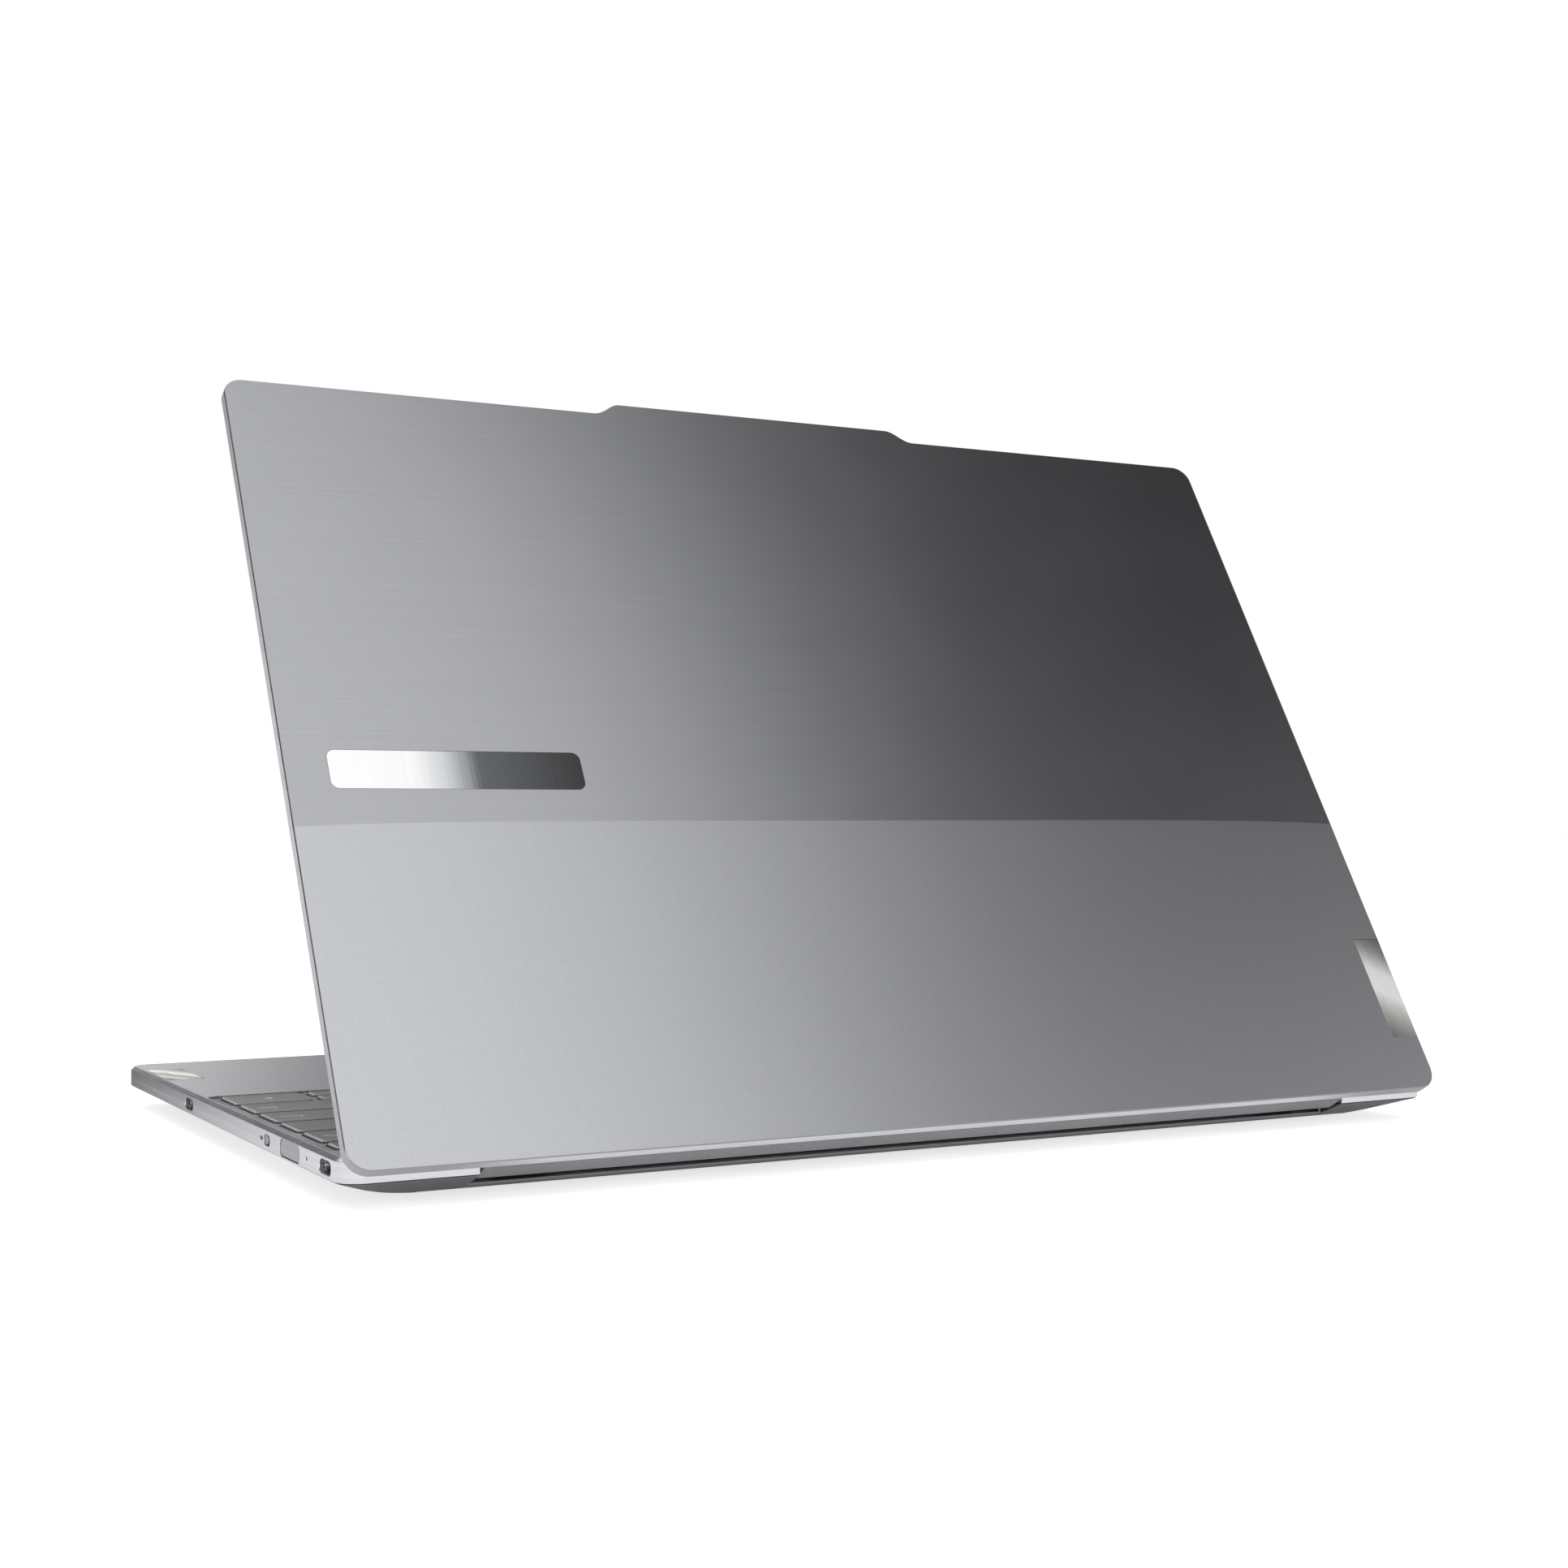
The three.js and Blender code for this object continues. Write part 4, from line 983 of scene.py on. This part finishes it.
def build_top_cover():
    rim = rounded_rect(BASE, BASE_STEPS)
    steps = [(0.08, BAND_LOW), (0, BAND_LOW + 0.08), (0, BAND_HIGH - 0.05), (0.05, BAND_HIGH + 0.02)]
    for d, fall in ((-0.07, 0.08), (0.02, 0.02), (0.12, 0)):
        steps.append((DECK_CHAMFER + d, DECK_Z - fall))
    marks = [BAND_MARK] * 2 + [CHAMFER_MARK] * 2 + [DECK_MARK] * 2
    shell = Solid().loft([(inset(rim, d), z) for d, z in steps], marks, caps=(BAND_MARK, DECK_MARK))
    inside = cavity_outline(WALL, NOTCH_DECK_Y - WALL)
    plate = grow(plan("palm_rest_plate", 0.4), 0.1)
    pad = grow(plan("touchpad", 3), 0.3)
    holes = [
        flared(key_rect(key, KEY_HOLE_GAP), CAVITY_TOP - 1, WELL_Z, 0.1, 4, WELL_MARK)
        for keys in KEY_GROUPS.values()
        for key in keys
    ]
    well = flared(WELL, WELL_Z, DECK_Z, 0.14, 8, WELL_MARK)
    mesh = shaped(
        shell,
        Solid().prism(inside, BAND_LOW - 1, CAVITY_TOP, INSIDE_MARK),
        notch_cutter(NOTCH_DECK_Y, DECK_Z + 1),
        well.add(flared(plate, DECK_Z - 0.45, DECK_Z, 0.03, 4, CHAMFER_MARK)),
        flared(pad, CAVITY_TOP - 1, DECK_Z, 0.12, 10, CHAMFER_MARK),
        merged(holes),
        side_cutters(),
        exhaust_cutters(),
        passages(),
    )
    finishes = "band deck_chamfer deck well inner"
    piece("top_cover_shell", mesh, finishes, "base", "top_cover")


def lip_cutters():
    """Groove and chamfer along the notch's lip, under the hinge cover; the groove's faces take the near-black
    third finish as painted shade, for the dark gap under the cover.
    """
    y, half = NOTCH_LIP_Y, NOTCH_HALF - 0.4
    groove = Solid().box(-half, half, y - 0.9, y + 1, LIP_Z, LIP_Z + 0.62, 2)
    top, foot = LIP_Z + 0.3, LIP_Z - 0.55
    wedge = [(y - 0.45, top), (y - 0.45, LIP_Z), (y, foot), (y + 1, foot), (y + 1, top)]
    return groove, Solid().prism(wedge, -half, half, 0, sideways)


def vent_cutters():
    """Slots under the fans and in front of the speakers."""
    made = Solid()
    for spots, half, y0, y1 in ((both_sides(9, 71, 6), 1.6, 46, 62), (both_sides(6, 96, 4.8), 0.9, -72, -62)):
        for x in spots:
            made.prism(stadium(x - half, x + half, y0, y1), 0, 3.2, 2)
    return made


def build_bottom_cover():
    bevel_low = rounded_rect((*grow(BASE, -BEVEL_RUN)[:4], BEVEL_CORNER), BASE_STEPS)
    bevel_high = rounded_rect(grow(BASE, -SEAM_STEP), BASE_STEPS)
    rise = SEAM_Z - 0.1 - BOTTOM_Z

    def on_bevel(share):
        return [tuple(p + (q - p) * share for p, q in zip(a, b)) for a, b in zip(bevel_low, bevel_high)]

    steps = ((-0.24, 0), (-0.02, 0.1), (0.12, 0.58), (0.28, rise * 0.28), (0.97, rise * 0.97))
    rings = [(on_bevel(share), BOTTOM_Z + z) for share, z in steps]
    rings += [(inset(bevel_high, 0.02), SEAM_Z - 0.12), (inset(bevel_high, 0.06), SEAM_Z)]
    inner_lip = cavity_outline(SEAM_STEP + WALL, NOTCH_LIP_Y - WALL)
    inner_flat = cavity_outline(BEVEL_RUN + 0.6, NOTCH_LIP_Y - WALL)
    spots = SCREWS.values()
    heads = [Solid().prism(circle(x, y, SCREW_HEAD_R + 0.1), 0, BOTTOM_Z + 0.6, 1) for x, y in spots]
    bores = [Solid().prism(circle(x, y, 0.9, 20), 0, 4, 2) for x, y in spots]
    grooves = [Solid().prism(rounded_rect(grow(plan(foot, 3), 0.15)), 0, BOTTOM_Z + 0.5, 1) for foot in FEET]
    mesh = shaped(
        Solid().loft(rings),
        Solid().loft([(inner_flat, BOTTOM_Z + 1), (inner_lip, SEAM_Z - 0.1), (inner_lip, SEAM_Z + 1)], 2),
        notch_cutter(NOTCH_LIP_Y, SEAM_Z + 1),
        *lip_cutters(),
        merged(heads + grooves),
        merged(bores),
        vent_cutters(),
        passages(),
    )
    finishes = "bottom bottom inner inner inner"
    piece("bottom_cover_shell", mesh, finishes, "base", "bottom_cover", sharp=24)


def build_feet():
    for foot in FEET:
        outline = rounded_rect(plan(foot, 3), 10)
        low, high = (corner[2] for corner in edges(foot))
        edge = ((0.4, 0), (0.3, 0.02), (0.12, 0.12), (0.02, 0.28), (0, 0.4))
        rings = [(inset(outline, d), low + z) for d, z in edge]
        piece(f"{foot}_strip", Solid().loft([*rings, (outline, high)]), "rubber", "base", foot)


def torx(r_out, r_in, steps=48):
    """Six-lobed recess outline."""
    points = []
    for i in range(steps):
        a = 2 * math.pi * i / steps
        r = (r_out + r_in) / 2 + (r_out - r_in) / 2 * math.cos(6 * a)
        points.append((r * math.cos(a), r * math.sin(a)))
    return points


def screw_mesh(turns=16):
    """Flat head downward with a six-lobed recess and a threaded shank."""
    steps = ((1.7, 0), (1.85, 0.04), (SCREW_HEAD_R, 0.14), (SCREW_HEAD_R, 0.5))
    head = Solid().loft([(circle(0, 0, r), z) for r, z in steps])
    thread = []
    for i in range(turns + 1):
        z = 0.45 + 6.6 * i / turns
        thread += [(circle(0, 0, 0.66, 20), z), (circle(0, 0, 0.8, 20), z + 0.2)]
    thread.append((circle(0, 0, 0.55, 20), 7.4))
    drilled = shaped(head, Solid().prism(torx(0.95, 0.68), -1, 0.32))
    return shaped(drilled, Solid().loft(thread), operation="UNION")


def build_screws():
    mesh = screw_mesh()
    for name, (x, y) in SCREWS.items():
        own = mesh.copy()
        own.transform(Matrix.Translation((x * MM, y * MM, BOTTOM_Z * MM)))
        piece(f"{name}_fastener", own, "screw", "base", name)


# ---- Base fittings ----


def build_touchpad():
    low, high = edges("touchpad")
    sheet = Solid().rounded(rounded_rect(plan("touchpad", 3), 12), 9.9, high[2], 0.14)
    board = Solid().box(-55, 55, -92, -31, low[2], 9.95, 1)
    piece("touchpad_sheet", sheet.add(board), "pad board", "touchpad", "touchpad")


def build_palm_plate():
    low, high = edges("palm_rest_plate")
    outline = rounded_rect(plan("palm_rest_plate", 0.4), 5)
    badge = Solid().rounded(outline, low[2], high[2], 0.04, 2)
    piece("palm_rest_badge", badge, "plate", "base", "palm_rest_plate", sharp=15)


def build_usb(node, side):
    """Receptacle with a rolled mouth, a tongue and two rows of gilt contacts."""
    low, high = edges(node)
    _, y, z = middle(node)
    mouth = high[0] if side > 0 else -low[0]
    back = mouth - 7.4
    outer = rounded_rect((y - 4.55, y + 4.55, z - 1.7, z + 1.7, 1.65), 10)
    wall = [(0.32, back + 0.6), (0.32, mouth - 0.18), (0.22, mouth - 0.03), (0.08, mouth)]
    wall += [(0, mouth - 0.12), (0, back)]
    whole = Solid().loft([(inset(outer, d), x) for d, x in wall], place=sideways).inside_out()
    blade = rounded_rect((y - 3.3, y + 3.3, z - 0.35, z + 0.35, 0.12), 3)
    whole.add(Solid().rounded(blade, back + 0.4, mouth - 0.9, 0.1, 2, sideways))
    for i in range(12):
        cy = y - 2.75 + 0.5 * i
        for cz in (z - 0.35, z + 0.35):
            whole.box(back + 1.5, mouth - 1.3, cy - 0.13, cy + 0.13, cz - 0.03, cz + 0.03, 2)
    if side < 0:
        whole.mirrored()
    piece(f"{node}_shell", whole, "port inner gold", "base", node, sharp=40)


def build_jack():
    low, high = edges("audio_jack")
    x = low[0]
    block = Solid().box(x + 0.9, high[0], JACK_Y - 3, JACK_Y + 3, low[2], high[2])
    barrel = Solid().prism(circle(JACK_Y, SIDE_Z, 1.75, 40), x, x + 2, place=sideways)
    steps = ((1.6, x - 1), (1.6, x), (1.45, x + 0.15), (1.45, x + 11))
    bore = Solid().loft([(circle(JACK_Y, SIDE_Z, r, 40), at) for r, at in steps], 1, place=sideways)
    mesh = shaped(shaped(block, barrel, operation="UNION"), bore)
    piece("audio_jack_body", mesh, "inner port", "base", "audio_jack")


def build_power_button():
    low, high = edges("power_button")
    cap = Solid().rounded(rounded_rect(POWER, 10), HALF - WALL - 0.8, high[0], 0.12, place=sideways)
    outline = rounded_rect((low[1], high[1], low[2], high[2], 1.6))
    cap.prism(outline, low[0], HALF - WALL - 0.3, 1, sideways)
    piece("power_button_cap", cap, "button inner", "power_button", "power_button")


def build_camera_switch():
    """Slide knob with a grip groove, and the dark carrier that fills its slot."""
    low, high = edges("camera_switch")
    rect = grow((SWITCH[0] + 0.15, SWITCH[1] - 1.6, *SWITCH[2:]), -0.12)
    y, z0, z1 = (rect[0] + rect[1]) / 2, rect[2] + 0.5, rect[3] - 0.5
    knob = Solid().rounded(rounded_rect(rect), HALF - 2, high[0], 0.16, place=sideways)
    groove = rounded_rect((y - 0.12, y + 0.12, z0, z1, 0.1), 3)
    mesh = shaped(knob, Solid().prism(groove, high[0] - 0.12, high[0] + 1, place=sideways))
    piece("camera_switch_knob", mesh, "button inner", "camera_switch", "camera_switch")
    carrier = Solid().box(low[0], HALF - WALL - 0.3, low[1], high[1], low[2], high[2])
    piece("camera_switch_carrier", carrier, "inner", "camera_switch")


# ---- Lid ----


def lid_outline(corner_steps=14, hump_steps=18):
    rear, front = up(0), up(LID_HEIGHT)
    bottom, top = LID_BOTTOM_CORNER, LID_TOP_CORNER
    foot = ((-HUMP_FOOT_HALF, front), (-HUMP_FOOT_HALF + 3.6, front))
    head = ((-HUMP_TOP_HALF - 3.4, front - HUMP_RISE), (-HUMP_TOP_HALF, front - HUMP_RISE))
    points = []
    for half in (
        arc(-HALF + top, front + top, top, 180, 270, corner_steps) + bezier(*foot, *head, hump_steps),
        arc(HALF - bottom, rear - bottom, bottom, 0, 90, corner_steps),
    ):
        points += half + [(-x, y) for x, y in reversed(half)]
    return points


LID_RING = lid_outline()


def build_lid_cover():
    steps = [(0.16, LID_IN), (0.05, LID_IN + 0.04), (0, LID_IN + 0.16)]
    steps += [(0, LID_OUT - LID_CHAMFER), (LID_CHAMFER, LID_OUT)]
    skin = Solid().loft([(inset(LID_RING, d), z) for d, z in steps], [1, 1, 1, 2], caps=(1, 0))
    pocket = Solid().prism(inset(LID_RING, LID_RIM), LID_IN - 1, LID_OUT - LID_SKIN, 3)
    inlays = Solid()
    for rect in (LID_TAG, LID_BAR):
        inlays.prism(rounded_rect(grow(rect, 0.06)), LID_OUT - INLAY_DEPTH, LID_OUT + 1, 2)
    finishes = "lid lid_edge lid_chamfer inner"
    lid_piece("lid_cover_shell", shaped(skin, pocket, inlays), finishes, "lid_cover")


def build_inlays():
    for node, rect, finish in (("lid_edge_tag", LID_TAG, "tag"), ("lid_emblem_bar", LID_BAR, "bar")):
        low = LID_OUT - INLAY_DEPTH + 0.05
        slab = Solid().rounded(rounded_rect(rect), low, LID_OUT + 0.015, 0.06)
        lid_piece(f"{node}_plate", slab, finish, node)


def above_foot(drop, reach):
    """A block over the glass's lower edge, lowered by drop, through the lid's inner face."""
    outline = rounded_rect((-HALF, HALF, up(250), up(GLASS_FOOT - drop), 0.3), 3)
    return Solid().prism(outline, LID_IN - reach, LID_IN + reach)


def build_screen():
    glass = Solid().rounded(inset(LID_RING, GLASS_INSET), LID_IN + 0.03, LID_IN + 0.62, 0.1)
    mesh = shaped(glass, above_foot(0, 2), operation="INTERSECT")
    lid_piece("screen_cover_glass", mesh, "glass", "screen_glass")
    bezel = Solid().rounded(inset(LID_RING, LID_RIM + 0.12), LID_IN - 0.06, LID_IN + 1, 0.12)
    window = Solid().prism(inset(LID_RING, GLASS_INSET - 0.1), LID_IN - 2, LID_IN + 2)
    opening = shaped(window, above_foot(0.1, 3), operation="INTERSECT")
    arms = Solid()
    for x in (-HINGE_X, HINGE_X):
        arms.box(x - 12, x + 12, -3.2, 1.2, LID_IN - 1, LID_IN + 2)
    lid_piece("display_bezel_frame", shaped(bezel, opening, arms), "bezel", "display_bezel")


def build_hinge_cover():
    """Bar between lid and base; hollow at its ends for the hinge hardware."""
    rear = BASE_REAR - HINGE_Y
    slope = 4.3 / BEVEL_RUN
    top = LID_IN - 0.35
    profile = (
        [(rear, COVER_STEP_Z - 0.06), (rear - 0.12, COVER_STEP_Z + 0.02)]
        + arc(rear - 0.42, top - 0.3, 0.3, 0, 90, 4)
        + arc(-COVER_R + 0.3, top - 0.3, 0.3, 90, 180, 4)
        + arc(0, 0, COVER_R, 180, 252, 16)
        + [(1.2, COVER_LOW + (1.2 - rear) * slope)]
        + arc(rear - 0.32, COVER_LOW + 0.2, 0.32, -75, 0, 5)
    )
    bar = Solid().rounded(profile, -COVER_HALF, COVER_HALF, 0.25, place=sideways)
    room = [(-5, -6), (2.06, -6), (2.06, -2.6), (2, -1.9), (2, LID_IN), (-5, LID_IN)]
    left = Solid().prism(room, 1 - COVER_HALF, -92, 1, sideways)
    right = Solid().prism(room, 92, COVER_HALF - 1, 1, sideways)
    lid_piece("hinge_cover_bar", shaped(bar, left, right), "cover inner", "hinge_cover")


def build_camera_eye():
    """The camera's lens and its ring behind the glass of the raised section."""
    y = up(204)
    z = LID_IN + 0.03
    eye = Solid().prism(circle(0, y, 2.1, 40), z - 0.012, z + 0.02)
    dome = ((0.25, 0.03), (0.8, 0.026), (1.2, 0.016), (1.35, -0.02))
    eye.loft([(circle(0, y, r, 40), z - h) for r, h in dome], 1)
    eye.prism(circle(8, y, 0.55, 24), z - 0.012, z + 0.02, 2)
    lid_piece("camera_eye", eye, "inner glass guide")


# ---- Carried-over CAD nodes ----

CAD_FINISH = {
    "steel": ["keyboard_plate"],
    "screw": [],
    "board": ["motherboard", "storage_module"],
    "copper": ["heat_pipe", "antenna_strip"],
    "cell": ["battery_pack"],
    "inner": ["display_panel", "camera_module", "display_cable"],
    "guide": ["power_light_guide"],
}
for hand in ("left", "right"):
    CAD_FINISH["steel"] += [f"hinge_pin_{hand}"]
    CAD_FINISH["screw"] += [f"hinge_bracket_{hand}", f"hinge_arm_{hand}"]
    CAD_FINISH["inner"] += [f"speaker_{hand}", f"fan_{hand}_housing", f"fan_{hand}_rotor"]
CAD_EDGE = 0.08


def dress_cad_nodes():
    """Materials and softened edges for the CAD solids whose own shape stays."""
    for finish, nodes in CAD_FINISH.items():
        for name in nodes:
            node = frame["nodes"][name]
            node.data.materials.clear()
            node.data.materials.append(M[finish])
            soft = node.modifiers.new("soft_edges", "BEVEL")
            soft.width = CAD_EDGE * MM
            soft.segments = 2
            soft.limit_method = "ANGLE"
            soft.angle_limit = math.radians(40)


# ---- Stage, light and camera ----

CAMERA_AT = (0.27659, 0.52912, 0.07686)
CAMERA_AIM = (-0.4739, -0.8803, 0.0208)
CAMERA_ROLL = math.radians(-0.212)
CAMERA_LENS = 50.156

# Key and fill light, soft round patches of sky: where each is, the cosines from its centre
# at which it starts and reaches full strength, and its darkest and brightest level.
AMBIENT = 0.017
SKY_LIGHTS = (
    ((0.116, 0.647, 0.754), (0.769, 0.853), (AMBIENT, AMBIENT + 1.02)),
    ((0.1, -0.45, 0.89), (0.82, 0.94), (0.0, 0.9)),
)

# The bright horizon, and how high it reaches ahead of the user and behind the lid. Ahead
# it has darker and brighter parts: each is (x of the direction, brightness).
HORIZON_LEVEL = 1.5
HORIZON_TURN = (-0.3, 0.3)
HORIZON_REACH = 0.737
FRONT_REACH = 0.34
FRONT_END = (-0.5, 0.1)
FRONT_TONES = ((-0.32, 0.1), (-0.18, 1.42), (0.0, 1.1), (0.1, 0.3), (0.22, 0.3), (0.33, 1.6), (0.6, 1.2))

# A faint ceiling over the user's side of the room.
CEILING_EDGES = (0.16, 0.42)
CEILING_LEVEL = 0.32
CEILING_END = (-0.4, 0.1)

# The floor shows a little brighter than it lights the object, and in reflections it is
# darker ahead of the user's right side.
FLOOR_REACH = 8
FLOOR_Z = -0.0002
FLOOR_GLOW = 0.18
FLOOR_LIFT = 0.52
FLOOR_ASIDE = (0.02, 0.14)
FLOOR_FADE = (-0.22, 0.06)
FLOOR_SHADE = 0.12
CARD_AT = (0.55, -0.6, 0.08)
CARD_SIZE = (0.4, 0.16)
CARD_WATTS = 0.5
WHITE = (1, 1, 1, 1)


def build_camera():
    aim = Vector(CAMERA_AIM).normalized()
    right = aim.cross(Vector((0, 0, 1))).normalized()
    above = right.cross(aim)
    c, s = math.cos(CAMERA_ROLL), math.sin(CAMERA_ROLL)
    turn = Matrix((right * c + above * s, above * c - right * s, -aim)).transposed()
    data = bpy.data.cameras.new("camera")
    data.lens = CAMERA_LENS
    data.sensor_width = 36
    data.clip_start = 0.01
    data.clip_end = 50
    camera = placed("camera", data)
    camera.matrix_world = Matrix.Translation(CAMERA_AT) @ turn.to_4x4()
    bpy.context.scene.camera = camera


def floor_finish():
    """Pale paint that is seen from above only."""
    r = Recipe("floor_paint")
    pale = r.tone(r.noise(6, 3), (0.3, 0.90), (0.7, 0.92))
    seen = r.camera_sees()
    x, y, _ = r.split(r.place)
    aside = r.span(x, 0.0, 1.0, *FLOOR_ASIDE)
    ahead = r.span(y, 1.0, 0.0, *FLOOR_FADE, smooth=True)
    shade = r.times(r.times(aside, ahead), r.minus(1.0, seen))
    r.set(base_color=r.mix(shade, pale, (FLOOR_SHADE, FLOOR_SHADE, FLOOR_SHADE, 1)))
    glow = r.plus(r.times(r.minus(1.0, shade), FLOOR_GLOW), r.times(seen, FLOOR_LIFT))
    r.set(roughness=0.6, specular_ior_level=0.2, emission_color=WHITE, emission_strength=glow)
    under = r.node("ShaderNodeNewGeometry").outputs["Backfacing"]
    clear = r.node("ShaderNodeBsdfTransparent").outputs[0]
    one_sided = r.node("ShaderNodeMixShader", {0: under, 1: r.shader.outputs[0], 2: clear})
    r.feed(r.tree.nodes["Material Output"].inputs["Surface"], one_sided.outputs[0])


def build_floor():
    corners = [(-1, -1), (1, -1), (1, 1), (-1, 1)]
    mesh = bpy.data.meshes.new("floor")
    mesh.from_pydata([(x * FLOOR_REACH, y * FLOOR_REACH, FLOOR_Z) for x, y in corners], [], [(0, 1, 2, 3)])
    floor_finish()
    mesh.materials.append(M["floor_paint"])
    placed("floor", mesh)


def build_side_card():
    """A low upright softbox ahead of the user's right side."""
    data = bpy.data.lights.new("side_card", "AREA")
    data.shape = "RECTANGLE"
    data.size, data.size_y = CARD_SIZE
    data.energy = CARD_WATTS
    card = placed("side_card", data)
    card.matrix_world = Matrix.Translation(CARD_AT) @ Matrix.Rotation(math.radians(90), 4, "X")
    card.visible_camera = False


def build_world():
    """A pale room: one broad soft light high behind the lid, a bright horizon, dim elsewhere."""
    world = bpy.data.worlds.new("studio")
    bpy.context.scene.world = world
    world.use_nodes = True
    w = Tree(world.node_tree)
    direction = w.node("ShaderNodeTexCoord").outputs["Generated"]
    x, y, z = w.split(direction)

    def ramp(value, ends, levels):
        return w.span(value, *levels, *ends, smooth=True)

    def patch(aim, ends, levels):
        sight = {0: direction, 1: Vector(aim).normalized()}
        cosine = w.node("ShaderNodeVectorMath", sight, operation="DOT_PRODUCT").outputs["Value"]
        return ramp(cosine, ends, levels)

    key, fill = (patch(*light) for light in SKY_LIGHTS)
    reach = ramp(y, HORIZON_TURN, (FRONT_REACH, HORIZON_REACH))
    glow = ramp(w.math("DIVIDE", z, reach), (0.0, 1.0), (HORIZON_LEVEL, 0.0))
    tone = FRONT_TONES[0][1]
    for (x0, low), (x1, high) in zip(FRONT_TONES, FRONT_TONES[1:]):
        tone = w.plus(tone, ramp(x, (x0, x1), (0.0, high - low)))
    change = w.times(w.minus(tone, 1.0), ramp(y, FRONT_END, (1.0, 0.0)))
    horizon = w.times(glow, w.plus(1.0, change))
    over = ramp(z, CEILING_EDGES, (0.0, CEILING_LEVEL))
    ceiling = w.times(over, ramp(y, CEILING_END, (1.0, 0.0)))
    total = w.plus(w.plus(w.plus(key, horizon), fill), ceiling)
    level = w.node("ShaderNodeMix", {0: w.camera_sees(), 2: total, 3: 1.0}).outputs[0]
    background = w.tree.nodes["Background"]
    w.feed(background.inputs["Color"], WHITE)
    w.feed(background.inputs["Strength"], level)


def set_view():
    view = bpy.context.scene.view_settings
    view.view_transform = "Standard"
    view.look = "None"


# ---- Build ----

build_camera()
build_top_cover()
build_bottom_cover()
build_feet()
build_screws()
build_keys()
build_touchpad()
build_palm_plate()
for port, port_side in USB_PORTS.items():
    build_usb(port, port_side)
build_jack()
build_power_button()
build_camera_switch()
build_lid_cover()
build_inlays()
build_screen()
build_camera_eye()
build_hinge_cover()
dress_cad_nodes()
build_floor()
build_world()
build_side_card()
set_view()
